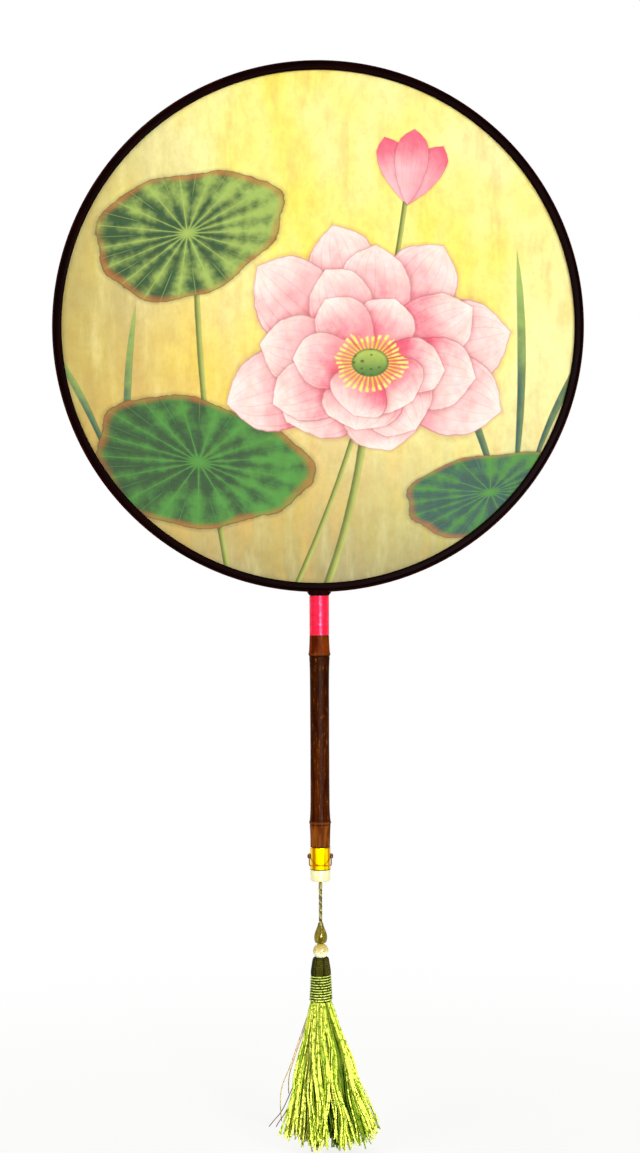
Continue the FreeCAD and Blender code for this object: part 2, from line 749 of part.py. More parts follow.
print(f"front pivot {size(FRONT_PIVOT):.3f}, side pivot {size(SIDE_PIVOT):.3f}, "
      f"cord exit {size(CORD_EXIT):.3f}, pin {size(PIN_HEIGHT):.3f}, "
      f"face {size(FACE_CENTRE):.3f}, head top {size(HEAD_TOP):.3f}")
os.makedirs("parts", exist_ok=True)
for piece in pieces:
    piece.Shape.exportStep(f"parts/{piece.Label}.step")
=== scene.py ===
import math
import random

import bmesh
import bpy
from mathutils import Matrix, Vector, noise


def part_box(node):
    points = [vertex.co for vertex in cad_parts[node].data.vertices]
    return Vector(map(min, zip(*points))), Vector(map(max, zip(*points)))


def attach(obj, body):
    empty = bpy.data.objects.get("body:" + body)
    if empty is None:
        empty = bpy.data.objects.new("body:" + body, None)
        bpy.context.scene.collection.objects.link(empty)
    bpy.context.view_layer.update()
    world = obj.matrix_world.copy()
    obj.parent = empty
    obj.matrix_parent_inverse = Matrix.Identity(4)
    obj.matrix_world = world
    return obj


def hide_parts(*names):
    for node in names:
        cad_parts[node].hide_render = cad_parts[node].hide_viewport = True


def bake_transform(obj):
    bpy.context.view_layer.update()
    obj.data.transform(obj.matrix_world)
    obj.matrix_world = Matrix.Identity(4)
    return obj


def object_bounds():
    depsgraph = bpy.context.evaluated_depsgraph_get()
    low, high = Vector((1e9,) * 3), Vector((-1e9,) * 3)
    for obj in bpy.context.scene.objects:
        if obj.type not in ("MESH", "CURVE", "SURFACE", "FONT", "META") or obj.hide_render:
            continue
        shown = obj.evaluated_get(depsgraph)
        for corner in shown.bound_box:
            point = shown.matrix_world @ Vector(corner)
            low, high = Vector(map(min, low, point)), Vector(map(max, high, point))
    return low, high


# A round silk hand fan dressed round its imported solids, in metres.
# The handle stands along Z, the silk face looks along -Y and the tassel hangs below the butt.

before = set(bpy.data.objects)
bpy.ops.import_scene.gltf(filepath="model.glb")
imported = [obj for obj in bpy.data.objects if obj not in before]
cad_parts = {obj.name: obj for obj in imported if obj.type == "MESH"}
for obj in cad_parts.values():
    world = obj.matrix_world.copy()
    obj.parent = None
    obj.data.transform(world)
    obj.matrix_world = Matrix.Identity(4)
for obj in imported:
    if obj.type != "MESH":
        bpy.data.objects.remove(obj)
cad_low, cad_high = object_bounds()


def span(node):
    """Width, depth and height of a solid."""
    low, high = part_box(node)
    return high - low


def half_width(node):
    """Half of a solid's width, which is the radius of a round one."""
    return span(node).x / 2


def ends(node):
    """The heights of a solid's foot and top."""
    low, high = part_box(node)
    return low.z, high.z


# Rim and silk
RIM_RADIUS = half_width("rim_edge_band")
FACE_CENTRE = Vector((0, 0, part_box("rim_edge_band")[0].z + RIM_RADIUS))
BAND_ROUND = 0.0004
HOOP_OUTER = half_width("front_rim_hoop")
HOOP_ROUND = 0.0007
SILK_RADIUS = half_width("painted_silk")
SILK_MARGIN = 0.0018
SILK_RIPPLE = 0.00022
SILK_FADE = 6
SILK_SWELLS = (
    # weight, noise scale across, noise layer, noise scale up
    (0.75, 22, 0, 30),
    (0.25, 75, 3, 60),
)
HOOP_INNER = SILK_RADIUS - SILK_MARGIN
REBATE_GAP = 0.00005
RIM_STEPS = 288
DISC_STEPS = 180
DISC_RINGS = 40

# Handle
UPPER_NODE = 0.0395
LOWER_NODE = -0.0395
CULM_FOOT, CULM_TOP = ends("bamboo_handle")
WRAP_FOOT, WRAP_TOP = ends("wrap_sleeve")
FERRULE_FOOT, FERRULE_TOP = ends("brass_ferrule")
FERRULE_RADIUS = half_width("brass_ferrule")
FERRULE_WALL = 0.0005
FERRULE_LIP = 0.0003
TENON_PLAY = 0.00005
TENON_RADIUS = FERRULE_RADIUS - FERRULE_WALL - TENON_PLAY
NECK_RADIUS = 0.00395
BORE_RADIUS = 0.0022
STUB_RADIUS = 0.00456
WAIST_RADIUS = 0.00446
BUTT_RADIUS = 0.00456
NODE_SWELL = 0.00052
NODE_REACH = 0.0042
NODE_RIDGE = 0.00022
NODE_RIDGE_HALF = 0.00045
NODE_SCAR = 0.00018
NODE_SCAR_HALF = 0.00030
NODE_SCAR_DROP = 0.00105
CULM_STEPS = 72
CULM_ROWS = 220
CULM_ROUGH = 0.010
CULM_NOISES = (
    # noise scale across and up, start
    (420, 26, 0),
    (130, 90, 7),
)

# Thread wrap
WRAP_TURNS = 46
WRAP_RADIUS = half_width("red_thread_wrap")
WRAP_FLATNESS = 0.3
WRAP_PRESS = 1.04
COIL_POINTS = 36
COIL_TUCK = 0.2

# Butt, pin and bail
PIN_HEIGHT = sum(ends("cross_pin")) / 2
PIN_END = half_width("cross_pin")
PIN_RADIUS = 0.0008
PIN_HEAD = 0.0012
PIN_HEAD_HEIGHT = 0.0006
PIN_ROWS = 5
PIN_STEPS = 32
BAIL_WIRE = 0.0005
BAIL_CORNER = 0.0024
EYE_RADIUS = 0.0014
EYE_THICKNESS = 0.00045
EYE_PLAY = 0.00005
EYE_ROUND = 0.00015
EYE_GRIP = 0.8
EYE_STEPS = 28
PLUG_FOOT, PLUG_TOP = ends("bone_end_plug")
PLUG_RADIUS = half_width("bone_end_plug")
PLUG_ROUND = 0.0010
PLUG_EDGE = 0.0001
PLUG_BORE = 0.0009

# Cord, knots and beads
CORD_DIAMETER = 0.0016
FRONT_PIVOT = -0.0684
CORD_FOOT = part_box("hanging_cord")[0].z
CORD_LAY = 0.0036
CORD_PLIES = 3
CORD_ROWS = 60
PLY_RADIUS = CORD_DIAMETER * 0.27
PLY_REACH = CORD_DIAMETER / 4
HITCH_FOOT, HITCH_TOP = ends("cord_hitch_knot")
HITCH_RADIUS = half_width("cord_hitch_knot")
HITCH_TURNS = 4
HITCH_THREAD = (HITCH_TOP - HITCH_FOOT) / HITCH_TURNS * 0.44
HITCH_SHOULDER = 1.6
CROWN_RADII = (0.0003, 0.0001)
CROWN_LIFT = 0.0003
PLUG_CORE_RADIUS = 0.0007
PLUG_CORE_PLAY = 0.00005
PLUG_PLY_RADIUS = CORD_DIAMETER / 4
PLUG_CORD_ROWS = 40
STOPPER_RADIUS = 0.00085
STOPPER_THREAD = 0.0006
STOPPER_TURNS = 2
BEAD_BORE = 0.00088
DROP_FOOT, DROP_TOP = ends("drop_bead")
DROP_RADIUS = half_width("drop_bead")
DROP_BELLY = 0.0026
DROP_FOOT_RADIUS = 0.0022
DROP_NECK_RADIUS = 0.0012
DROP_FULLNESS = 0.85
DROP_FOOT_ROWS = 8
DROP_NECK_ROWS = 14
CORD_ROUTE = ((0, 0, FRONT_PIVOT), (0, 0, DROP_TOP), (0, 0, CORD_FOOT))
PEARL_RADIUS = half_width("pearl_bead")
PEARL_CENTRE = sum(ends("pearl_bead")) / 2
# Heights over which painted shade darkens the pearl's top
PEARL_SHADE_HEIGHTS = (PEARL_CENTRE + 0.1 * PEARL_RADIUS, PEARL_CENTRE + 0.8 * PEARL_RADIUS)
PEARL_ROWS = 24
BEAD_STEPS = 48

# Head, neck and binding of the tassel
HEAD_FOOT, HEAD_TOP = ends("tassel_head")
HEAD_THREADS = 46
HEAD_THREAD_RADIUS = 0.00040
HEAD_SEED = 5
HEAD_SWAY = 0.2
HEAD_LIFT = 0.0002
HEAD_REACH = 0.00012
HEAD_FOLD = (
    # radius, height from the head's top, how far it takes a thread's own lift
    (0.0012, -0.0019, 0),
    (0.0024, -0.0013, 1),
    (0.0031, -0.0004, 1),
    (0.0035, -0.0014, 0),
    (0.0039, -0.0040, 0),
)
HEAD_WAIST = (
    # radius, height from the head's foot
    (0.0043, 0.0016),
    (0.0044, 0.0),
)
NECK_FOOT, NECK_TOP = ends("tassel_neck")
NECK_FOOT_RADIUS = half_width("tassel_neck")
NECK_TOP_RADIUS = 0.00435
NECK_DIP = 0.0012
BINDING_TURNS = 10
BINDING_THREAD = 0.0006

# Skirt
SKIRT_LENGTH = span("tassel_skirt").z
SKIRT_HALF_WIDTH = 0.0235
SKIRT_HALF_DEPTH = 0.018
SKIRT_LEAN = 0.0050
SKIRT_FALLS = (0.0, 0.11, 0.33, 0.64, 0.85, 1.0)
SKIRT_SPREADS = (0.21, 0.31, 0.49, 0.73, 0.94, 1.0)
SKIRT_LEANS = (0.0, 0.1, 0.36, 0.68, 0.88, 1.0)
SKIRT_SHAKE = 0.00045
SKIRT_SEED = 23
SKIRT_OUTER = 0.98
SKIRT_CORE = 0.04
SKIRT_LOCKS = 84
SKIRT_THREAD_RADIUS = 0.00036

# Locks of the skirt
LOCK_SHARE = 0.92
LOCK_THREADS = 8
LOCK_TOP = 0.0006
LOCK_FOOT = 0.0025
LOCK_CURL = 0.0009
LOCK_CURL_SPREAD = LOCK_CURL * 1.6
LOCK_SWAY = 0.0046
LOCK_BOWS = (-0.0014, 0.0010)
LOCK_TWIST = 0.55
LOCK_LENGTHS = (0.90, 0.975)
LOCK_WAVE = 0.0012
LOCK_WAVES = (1.0, 2.4)
LOCK_STEPS = (0.0, 0.08, 0.18, 0.30, 0.42, 0.54, 0.66, 0.78, 0.89, 1.0)

# Threads of a lock
WAVE_START = 0.3
WAVE_DEPTH = 0.5
CURL_START = 0.6
FRAY_POWER = 1.5
ROOT_SHARE = 0.86
ROOT_LIFT = 0.0022
ROOT_THICKNESS = 0.85
THREAD_TURN = 1.6
THREAD_RAGGED = 0.020
THREAD_LONGEST = 0.995
THREAD_THICKNESSES = (0.86, 1.08)

# Stray threads
STRAY_RADIUS = 0.00022
STRAYS = (
    # places of a stray thread, across and below the neck in metres
    ((-0.0040, -0.001), (-0.0094, -0.0154), (-0.0150, -0.0323), (-0.0185, -0.0398), (-0.0197, -0.0482),
     (-0.0189, -0.0576)),
    ((-0.0038, -0.001), (-0.0088, -0.0160), (-0.0140, -0.0310), (-0.0157, -0.0379), (-0.0154, -0.0445)),
    ((-0.0100, -0.0330), (-0.0150, -0.0450), (-0.0186, -0.0530), (-0.0219, -0.0566), (-0.0248, -0.0600)),
    ((-0.0110, -0.0400), (-0.0148, -0.0490), (-0.0175, -0.0545), (-0.0196, -0.0570), (-0.0215, -0.0602)),
)
STRAY_FRONT = 0.0015
STRAY_SWAY = 0.002
STRAY_WAVES = 90

# Shaping
SMOOTH_LIMIT = math.radians(65)
SHARP_LIMIT = math.radians(40)
TOUCH = 1e-6
MERGE_GAP = 1e-7
FLAT_GAP = 1e-8
TURNED_STEPS = 64
GOLDEN_ANGLE = math.pi * (3 - math.sqrt(5))
FRONT = Vector((0, -1, 0))
UP = Vector((0, 0, 1))
ACROSS = Vector((1, 0, 0))
QUARTER = math.pi / 2


def colour(red, green, blue):
    """Turn an 8-bit screen colour into the linear colour that nodes take."""
    def linear(channel):
        share = channel / 255
        return share / 12.92 if share <= 0.04045 else ((share + 0.055) / 1.055) ** 2.4
    return (linear(red), linear(green), linear(blue), 1)


class Wire:
    """What one node puts out. A sum of wires and numbers adds the nodes that work it out."""

    def __init__(self, recipe, socket):
        self.recipe = recipe
        self.socket = socket

    def __add__(self, other):
        return self.recipe.math("ADD", self, other)

    def __sub__(self, other):
        return self.recipe.math("SUBTRACT", self, other)

    def __rsub__(self, other):
        return self.recipe.math("SUBTRACT", other, self)

    def __mul__(self, other):
        return self.recipe.math("MULTIPLY", self, other)

    def __truediv__(self, other):
        return self.recipe.math("DIVIDE", self, other)

    def __abs__(self):
        return self.recipe.math("ABSOLUTE", self)


class Recipe:
    """The nodes of one material, world or node group. Most calls add a node and give its wire."""

    def __init__(self, tree):
        self.tree = tree

    def feed(self, socket, value):
        """Link a socket to a wire, or set its own value."""
        if isinstance(value, Wire):
            self.tree.links.new(value.socket, socket)
        else:
            socket.default_value = value

    def add(self, kind, inputs=(), **settings):
        """Add a node of any kind, with its settings and its inputs by name or number."""
        node = self.tree.nodes.new(kind)
        for name, value in settings.items():
            setattr(node, name, value)
        for name, value in dict(inputs).items():
            self.feed(node.inputs[name], value)
        return node

    def node(self, kind, inputs=(), output=0, **settings):
        """Add a node of any kind and give one of its outputs."""
        return Wire(self, self.add(kind, inputs, **settings).outputs[output])

    def math(self, operation, *values, clamp=False):
        """Work out one sum of numbers."""
        return self.node("ShaderNodeMath", enumerate(values), operation=operation, use_clamp=clamp)

    def vector(self, operation, *values, output=0):
        """Work out one sum of vectors."""
        return self.node("ShaderNodeVectorMath", enumerate(values), output, operation=operation)

    def mix(self, factor, first, second, manner="MIX"):
        """Mix two colours."""
        return self.node("ShaderNodeMix", {0: factor, 6: first, 7: second}, 2,
                         data_type="RGBA", blend_type=manner)

    def step(self, value, low, high, start=0.0, end=1.0):
        """Go smoothly from start to end while the value goes from low to high."""
        names = ("Value", "From Min", "From Max", "To Min", "To Max")
        return self.node("ShaderNodeMapRange", zip(names, (value, low, high, start, end)),
                         interpolation_type="SMOOTHSTEP")

    def over(self, ground, paint, value, low, high, start=0.0, end=1.0):
        """Lay a paint over a ground by a smooth step of a value."""
        return self.mix(self.step(value, low, high, start, end), ground, paint)

    def layers(self, tone, *paints):
        """Lay paints over a tone one after another. Each has its colour, its value and its step."""
        for paint, value, *marks in paints:
            tone = self.over(tone, paint, value, *marks)
        return tone

    def curve(self, value, points):
        """Read a smooth curve through points of (value, result), from 0 to 1."""
        node = self.add("ShaderNodeFloatCurve", {"Value": value})
        line = node.mapping.curves[0].points
        first, *middle, last = points
        line[0].location = first
        line[-1].location = last
        for point in middle:
            line.new(*point)
        node.mapping.update()
        return Wire(self, node.outputs[0])

    def noise(self, place, scales, detail=2.0, roughness=0.5, distortion=0.0):
        """Cloudy noise from 0 to 1, finer by a scale along each axis."""
        return self.node("ShaderNodeTexNoise", {
            "Vector": self.vector("MULTIPLY", place, scales), "Scale": 1.0, "Detail": detail,
            "Roughness": roughness, "Distortion": distortion,
        })

    def place(self, source="Object"):
        """The surface's own coordinates: Object or UV."""
        return self.node("ShaderNodeTexCoord", output=source)

    def local(self, place, location, rotation, scale=(1, 1, 1)):
        """Coordinates seen from a place that is moved, turned and scaled."""
        return self.node("ShaderNodeMapping", {
            "Vector": place, "Location": location, "Rotation": rotation, "Scale": scale,
        }, vector_type="TEXTURE")

    def split(self, place):
        """The three numbers of a vector."""
        return [Wire(self, number) for number in self.add("ShaderNodeSeparateXYZ", {0: place}).outputs]

    def join(self, x, y, z):
        """A vector of three numbers."""
        return self.node("ShaderNodeCombineXYZ", {0: x, 1: y, 2: z})

    def length(self, x, y):
        """How far a point in a plane lies from the origin."""
        return self.vector("LENGTH", self.join(x, y, 0.0), output=1)

    def nearest(self, value, first, second):
        """How far a value lies from the nearer of two others."""
        return self.math("MINIMUM", abs(value - first), abs(value - second))

    def seen(self):
        """1 for what the camera sees, also in a reflection or through glass, and 0 for other rays."""
        rays = self.add("ShaderNodeLightPath").outputs
        camera, glossy, through = (Wire(self, rays[f"Is {kind} Ray"])
                                   for kind in ("Camera", "Glossy", "Transmission"))
        return self.math("MAXIMUM", self.math("MAXIMUM", camera, glossy), through)

    def bump(self, height, distance):
        """A normal bent by a height from 0 to 1."""
        return self.node("ShaderNodeBump", {"Strength": 1.0, "Distance": distance, "Height": height})

    def surface(self, **sockets):
        """Finish the material with a Principled shader. An underscore stands for a space."""
        inputs = {name.replace("_", " "): value for name, value in sockets.items()}
        self.add("ShaderNodeOutputMaterial", {"Surface": self.node("ShaderNodeBsdfPrincipled", inputs)})


def new_finish(name):
    """Start an empty material."""
    material = bpy.data.materials.new(name)
    material.use_nodes = True
    material.node_tree.nodes.clear()
    return material, Recipe(material.node_tree)


def round_the_rim(recipe):
    """Coordinates along the rim, out from its middle and through its depth, in metres."""
    x, z, depth = recipe.split(recipe.local(recipe.place(), FACE_CENTRE, (QUARTER, 0, 0)))
    return recipe.math("ARCTAN2", x, z) * RIM_RADIUS, recipe.length(x, z), depth


def round_the_handle(recipe):
    """Coordinates on the handle's skin, round it and along it, and the height alone, in metres."""
    x, y, height = recipe.split(recipe.place())
    angle = recipe.math("ARCTAN2", x, y * -1.0)
    return recipe.join(angle * WAIST_RADIUS, 0.0, height), height


def lacquered_bamboo():
    """Bent bamboo strip under dark red-black lacquer, with its fibres running round the rim."""
    material, recipe = new_finish("lacquered_bamboo")
    along, radius, depth = round_the_rim(recipe)
    strip = recipe.join(along, radius, depth)
    fibre = recipe.noise(strip, (45, 2600, 2600), 3.0, 0.6)
    patch = recipe.noise(strip, (30, 200, 200))
    tone = recipe.mix(patch, colour(3, 0, 0), colour(20, 2, 2))
    tone = recipe.over(tone, colour(42, 6, 3), fibre, 0.52, 0.82)
    edge = recipe.step(radius, HOOP_OUTER - 0.0008, HOOP_OUTER + 0.0006, 0.0, 0.6)
    worn = edge * recipe.step(fibre, 0.35, 0.75)
    recipe.surface(
        Base_Color=recipe.mix(worn, tone, colour(58, 14, 8)),
        Roughness=recipe.step(fibre, 0.25, 0.75, 0.30, 0.46),
        Specular_IOR_Level=0.004,
        Normal=recipe.bump(fibre, 0.00006),
    )
    return material


# Motifs of the painting
MOTIF_COLOURS = {
    "petal": ("Root Colour", "Tip Colour", "Line Colour"),
    "leaf": ("Dark Colour", "Light Colour", "Rim Colour"),
    "stem": ("Dark Colour", "Light Colour"),
    "heart": (),
}
MOTIF_NUMBERS = ("X", "Y", "Ruffle", "Root X", "Root Y", "Along X", "Along Y", "Across X", "Across Y")


def new_group(kind, *numbers):
    """Start a node group for a painted motif: its ground, its colours, its place and its own numbers."""
    group = bpy.data.node_groups.new(f"painted_{kind}", "ShaderNodeTree")
    sockets = [(name, "NodeSocketColor") for name in ("Ground", *MOTIF_COLOURS[kind])]
    sockets += [(name, "NodeSocketFloat") for name in (*MOTIF_NUMBERS, *numbers)]
    for name, socket_type in sockets:
        group.interface.new_socket(name, in_out="INPUT", socket_type=socket_type)
    group.interface.new_socket("Colour", in_out="OUTPUT", socket_type="NodeSocketColor")
    recipe = Recipe(group)
    given = {socket.name: Wire(recipe, socket) for socket in recipe.add("NodeGroupInput").outputs}
    return group, recipe, given


def own_axes(given):
    """Where a point lies along and across a motif, in shares of its length and half width."""
    dx = given["X"] - given["Root X"]
    dy = given["Y"] - given["Root Y"]
    return dx * given["Along X"] + dy * given["Along Y"], dx * given["Across X"] + dy * given["Across Y"]


PETAL_OUTLINE = ((0.0, 0.06), (0.14, 0.44), (0.38, 0.84), (0.60, 1.0), (0.79, 0.86), (0.90, 0.55),
                 (0.96, 0.24), (1.0, 0.0))
LEAF_VEINS = 17
STAMENS = 34


def petal_group():
    """One painted petal or blade laid over what is already painted."""
    group, recipe, given = new_group("petal", "Bend")
    tip = given["Tip Colour"]
    line = given["Line Colour"]
    along, across = own_axes(given)
    inside = recipe.math("ADD", along, 0.0, clamp=True)
    side = across - inside * inside * given["Bend"]
    width = recipe.curve(inside, PETAL_OUTLINE)
    edge = width - abs(side) - abs(along - inside) * 4.0 + given["Ruffle"]
    halo = recipe.step(edge, -0.18, 0.04, 0.0, 0.28)
    ground = recipe.mix(halo, given["Ground"], line, "MULTIPLY")
    blush = given["Ruffle"] * 3.4 + inside
    share = side / recipe.math("MAXIMUM", width, 0.05)
    vein = recipe.math("PINGPONG", share * 3.5, 0.5)
    tone = recipe.layers(
        given["Root Colour"],
        (tip, blush, 0.34, 1.04),
        (line, vein, 0.0, 0.11, 0.22, 0.0),
        (tip, share, -1.0, 0.7, 0.34, 0.0),
        (line, edge, 0.012, 0.062, 0.62, 0.0),
    )
    recipe.add("NodeGroupOutput", {0: recipe.over(ground, tone, edge, -0.01, 0.025)})
    return group


def leaf_group():
    """One round painted leaf with veins running out from its middle."""
    group, recipe, given = new_group("leaf", "Mottle")
    dark = given["Dark Colour"]
    light = given["Light Colour"]
    x, y = own_axes(given)
    reach = recipe.length(x, y)
    angle = recipe.math("ARCTAN2", y, x)
    wave = recipe.math("SINE", angle * 3.0 + 1.0)
    frill = recipe.math("SINE", angle * 8.0)
    edge = wave * 0.06 + 1.0 + frill * 0.025 + given["Ruffle"] * 0.7 - reach
    halo = recipe.step(edge, -0.07, 0.02, 0.0, 0.36)
    ground = recipe.mix(halo, given["Ground"], dark, "MULTIPLY")
    cell = angle * (LEAF_VEINS / math.tau)
    across = recipe.math("PINGPONG", cell, 0.5)
    shade = given["Mottle"] * 1.5 + across * 0.9 - x * 0.22 - reach * 0.25
    main = recipe.step(across * reach, 0.006, 0.024, 0.75, 0.0)
    fork = recipe.math("PINGPONG", cell * 2.0, 0.5)
    fork = recipe.step(fork * reach, 0.01, 0.04, 0.5, 0.0) * recipe.step(reach, 0.5, 0.72)
    tone = recipe.mix(recipe.math("MAXIMUM", main, fork), recipe.over(light, dark, shade, 0.35, 1.15), light)
    rust = edge - (given["Mottle"] * 0.22 - 0.03)
    tone = recipe.layers(
        tone,
        (light, reach, 0.02, 0.16, 0.9, 0.0),
        (given["Rim Colour"], rust, -0.09, 0.04, 0.7, 0.0),
        (dark, edge, 0.004, 0.022, 0.75, 0.0),
    )
    recipe.add("NodeGroupOutput", {0: recipe.over(ground, tone, edge, -0.006, 0.01)})
    return group


def stem_group():
    """One painted stalk, a soft bent line with a light side."""
    group, recipe, given = new_group("stem", "Bend")
    along, across = own_axes(given)
    inside = recipe.math("ADD", along, 0.0, clamp=True)
    side = across - inside * (1.0 - inside) * given["Bend"]
    edge = 1.0 - abs(side) - abs(along - inside) * 60.0 + given["Ruffle"] * 2.0
    tone = recipe.over(given["Light Colour"], given["Dark Colour"], side, -0.7, 0.8)
    recipe.add("NodeGroupOutput", {0: recipe.over(given["Ground"], tone, edge, 0.0, 0.3)})
    return group


def heart_group():
    """The flower's heart: a ring of gold stamens round a green seed pod."""
    group, recipe, given = new_group("heart")
    x, y = own_axes(given)
    reach = recipe.length(x, y)
    angle = recipe.math("ARCTAN2", y, x)
    hair = recipe.math("PINGPONG", angle * (STAMENS / math.tau), 0.5)
    left = given["Ruffle"] * 5.0 + 0.84 - reach
    fringe = recipe.step(hair, 0.10, 0.24, 1.0, 0.0) * recipe.step(left, 0.0, 0.05)
    tips = recipe.step(left, 0.10, 0.16, 1.0, 0.0) * recipe.step(left, -0.06, -0.02)
    tips = tips * recipe.step(hair, 0.16, 0.34, 1.0, 0.0)
    tone = recipe.over(given["Ground"], colour(214, 128, 60), reach, 0.5, 1.0, 0.6, 0.0)
    tone = recipe.mix(fringe, tone, colour(250, 206, 70))
    tone = recipe.mix(tips, tone, colour(255, 236, 120))
    seeds = recipe.node("ShaderNodeTexVoronoi", {
        "Vector": recipe.join(x, y, 0.0), "Scale": 4.6, "Randomness": 0.35,
    })
    pod = recipe.layers(
        colour(74, 128, 58),
        (colour(176, 200, 92), y, -0.4, 0.4),
        (colour(58, 92, 34), seeds, 0.16, 0.3, 0.85, 0.0),
        (colour(66, 104, 40), reach, 0.36, 0.46, 0.0, 0.8),
    )
    recipe.add("NodeGroupOutput", {0: recipe.over(tone, pod, reach, 0.44, 0.48, 1.0, 0.0)})
    return group


# Colours of the painting
GOLD = colour(255, 236, 96)
CREAM = colour(255, 248, 172)
TAN = colour(208, 160, 92)
SAGE = colour(146, 152, 96)
POND = colour(58, 104, 116)
WASH = colour(214, 196, 164)
PETAL_PALE = colour(255, 236, 230)
PETAL_BLUSH = colour(250, 190, 198)
PETAL_ROSE = colour(236, 84, 122)
PETAL_LINE = colour(178, 62, 84)
LEAF_DARK = colour(18, 78, 48)
LEAF_GREEN = colour(70, 150, 62)
LEAF_PALE = colour(160, 190, 92)
LEAF_BLUE = colour(32, 88, 84)
LEAF_RUST = colour(196, 112, 58)
STEM_DARK = colour(88, 106, 44)
STEM_LIGHT = colour(182, 192, 98)

# The lotus spray, in shares of the silk's radius from its middle
BLOOM = Vector((0.20, -0.14, 0))
BLOOM_SEED = 11
PETAL_TURN = 8
PETAL_LENGTHS = (0.88, 1.08)
PETAL_WIDTHS = (0.9, 1.08)
PETAL_SPLAY = 0.22
PETAL_BEND = 0.32
BLOOM_RINGS = (
    # petals, first angle in degrees, length, half width, how much the front and the back are foreshortened
    (8, 14.0, 0.56, 0.162, 0.66, 0.94),
    (8, 32.0, 0.45, 0.135, 0.60, 0.94),
    (6, 6.0, 0.31, 0.118, 0.62, 0.92),
)
HEART_SIZE = (0.155, 0.118)
STEMS = (
    # root, tip, half width, bend
    ((0.02, -1.02), (0.19, -0.24), 0.017, -7.0),
    ((-0.10, -1.02), (0.34, 0.50), 0.011, -22.0),
    ((-0.34, -1.00), (-0.47, 0.34), 0.013, 9.0),
    ((0.52, -1.00), (0.62, -0.66), 0.010, 3.0),
)
LEAVES = (
    # middle, turn in degrees, half width, half height, dark and light colours
    ((-0.50, 0.36), 16.0, 0.37, 0.235, LEAF_DARK, LEAF_PALE),
    ((0.66, -0.64), 12.0, 0.34, 0.150, LEAF_BLUE, LEAF_GREEN),
    ((-0.46, -0.52), -10.0, 0.42, 0.245, LEAF_DARK, LEAF_GREEN),
)
BLADES = (
    # root, angle in degrees, length, half width, bend
    ((0.74, -0.70), 82.0, 0.98, 0.016, 7.0),
    ((0.80, -0.62), 74.0, 0.70, 0.014, -9.0),
    ((0.70, -0.72), 100.0, 0.66, 0.015, 8.0),
    ((-0.72, -0.66), 96.0, 0.74, 0.014, -7.0),
    ((-0.78, -0.58), 108.0, 0.56, 0.013, 6.0),
)
BUD = Vector((0.345, 0.47, 0))
BUD_PETALS = (
    # angle in degrees, length, half width, bend
    (104.0, 0.27, 0.062, 0.35),
    (62.0, 0.26, 0.060, -0.35),
    (84.0, 0.29, 0.066, 0.0),
)


def on_face(recipe):
    """Coordinates on the silk, in shares of its radius from its middle."""
    return recipe.local(recipe.place(), FACE_CENTRE, (QUARTER, 0, 0), (SILK_RADIUS,) * 3)


def silk_ground(recipe, place, x, y):
    """Gold silk with cream clouds, a soft pond wash below and long brushed mottling."""
    cloud = recipe.noise(place, (1 / 0.6, 1 / 0.9, 1), 3.0, 0.55)
    brushed = recipe.noise(place, (1 / 0.09, 1 / 0.42, 1), 4.0, 0.6)
    grain = recipe.noise(place, (1 / 0.017, 1 / 0.033, 1), 3.0, 0.65)
    pond = brushed * 0.8 - y * 0.9 + x * 0.16
    return recipe.layers(
        GOLD,
        (CREAM, cloud, 0.36, 0.66),
        (TAN, cloud - x * 0.55 - y * 0.55, 0.40, 1.15, 0.0, 0.7),
        (SAGE, pond, 0.60, 1.25, 0.0, 0.5),
        (POND, pond, 0.90, 1.55, 0.0, 0.5),
        (SAGE, cloud * 0.7 - x, 0.70, 1.45, 0.0, 0.65),
        (CREAM, brushed, 0.46, 0.70, 0.0, 0.36),
        (TAN, brushed, 0.28, 0.50, 0.34, 0.0),
        (TAN, grain, 0.3, 0.7, 0.10, 0.0),
    )


def bloom_petals():
    """Every petal of the open flower from the outer ring in: angle, length, half width and bend."""
    draw = random.Random(BLOOM_SEED)
    petals = []
    for count, first, length, width, front_share, back_share in BLOOM_RINGS:
        ring = []
        for number in range(count):
            angle = math.radians(first + 360 * number / count + draw.uniform(-PETAL_TURN, PETAL_TURN))
            share = back_share if math.sin(angle) > 0 else front_share
            tip = Vector((math.cos(angle), math.sin(angle) * share, 0))
            reach = length * draw.uniform(*PETAL_LENGTHS)
            breadth = width * draw.uniform(*PETAL_WIDTHS) * (1.0 + PETAL_SPLAY * (1 - tip.length))
            ring.append((math.sin(angle), math.degrees(math.atan2(tip.y, tip.x)),
                         reach * tip.length, breadth, draw.uniform(-PETAL_BEND, PETAL_BEND)))
        petals += sorted(ring, key=lambda petal: -petal[0])
    return [petal[1:] for petal in petals]


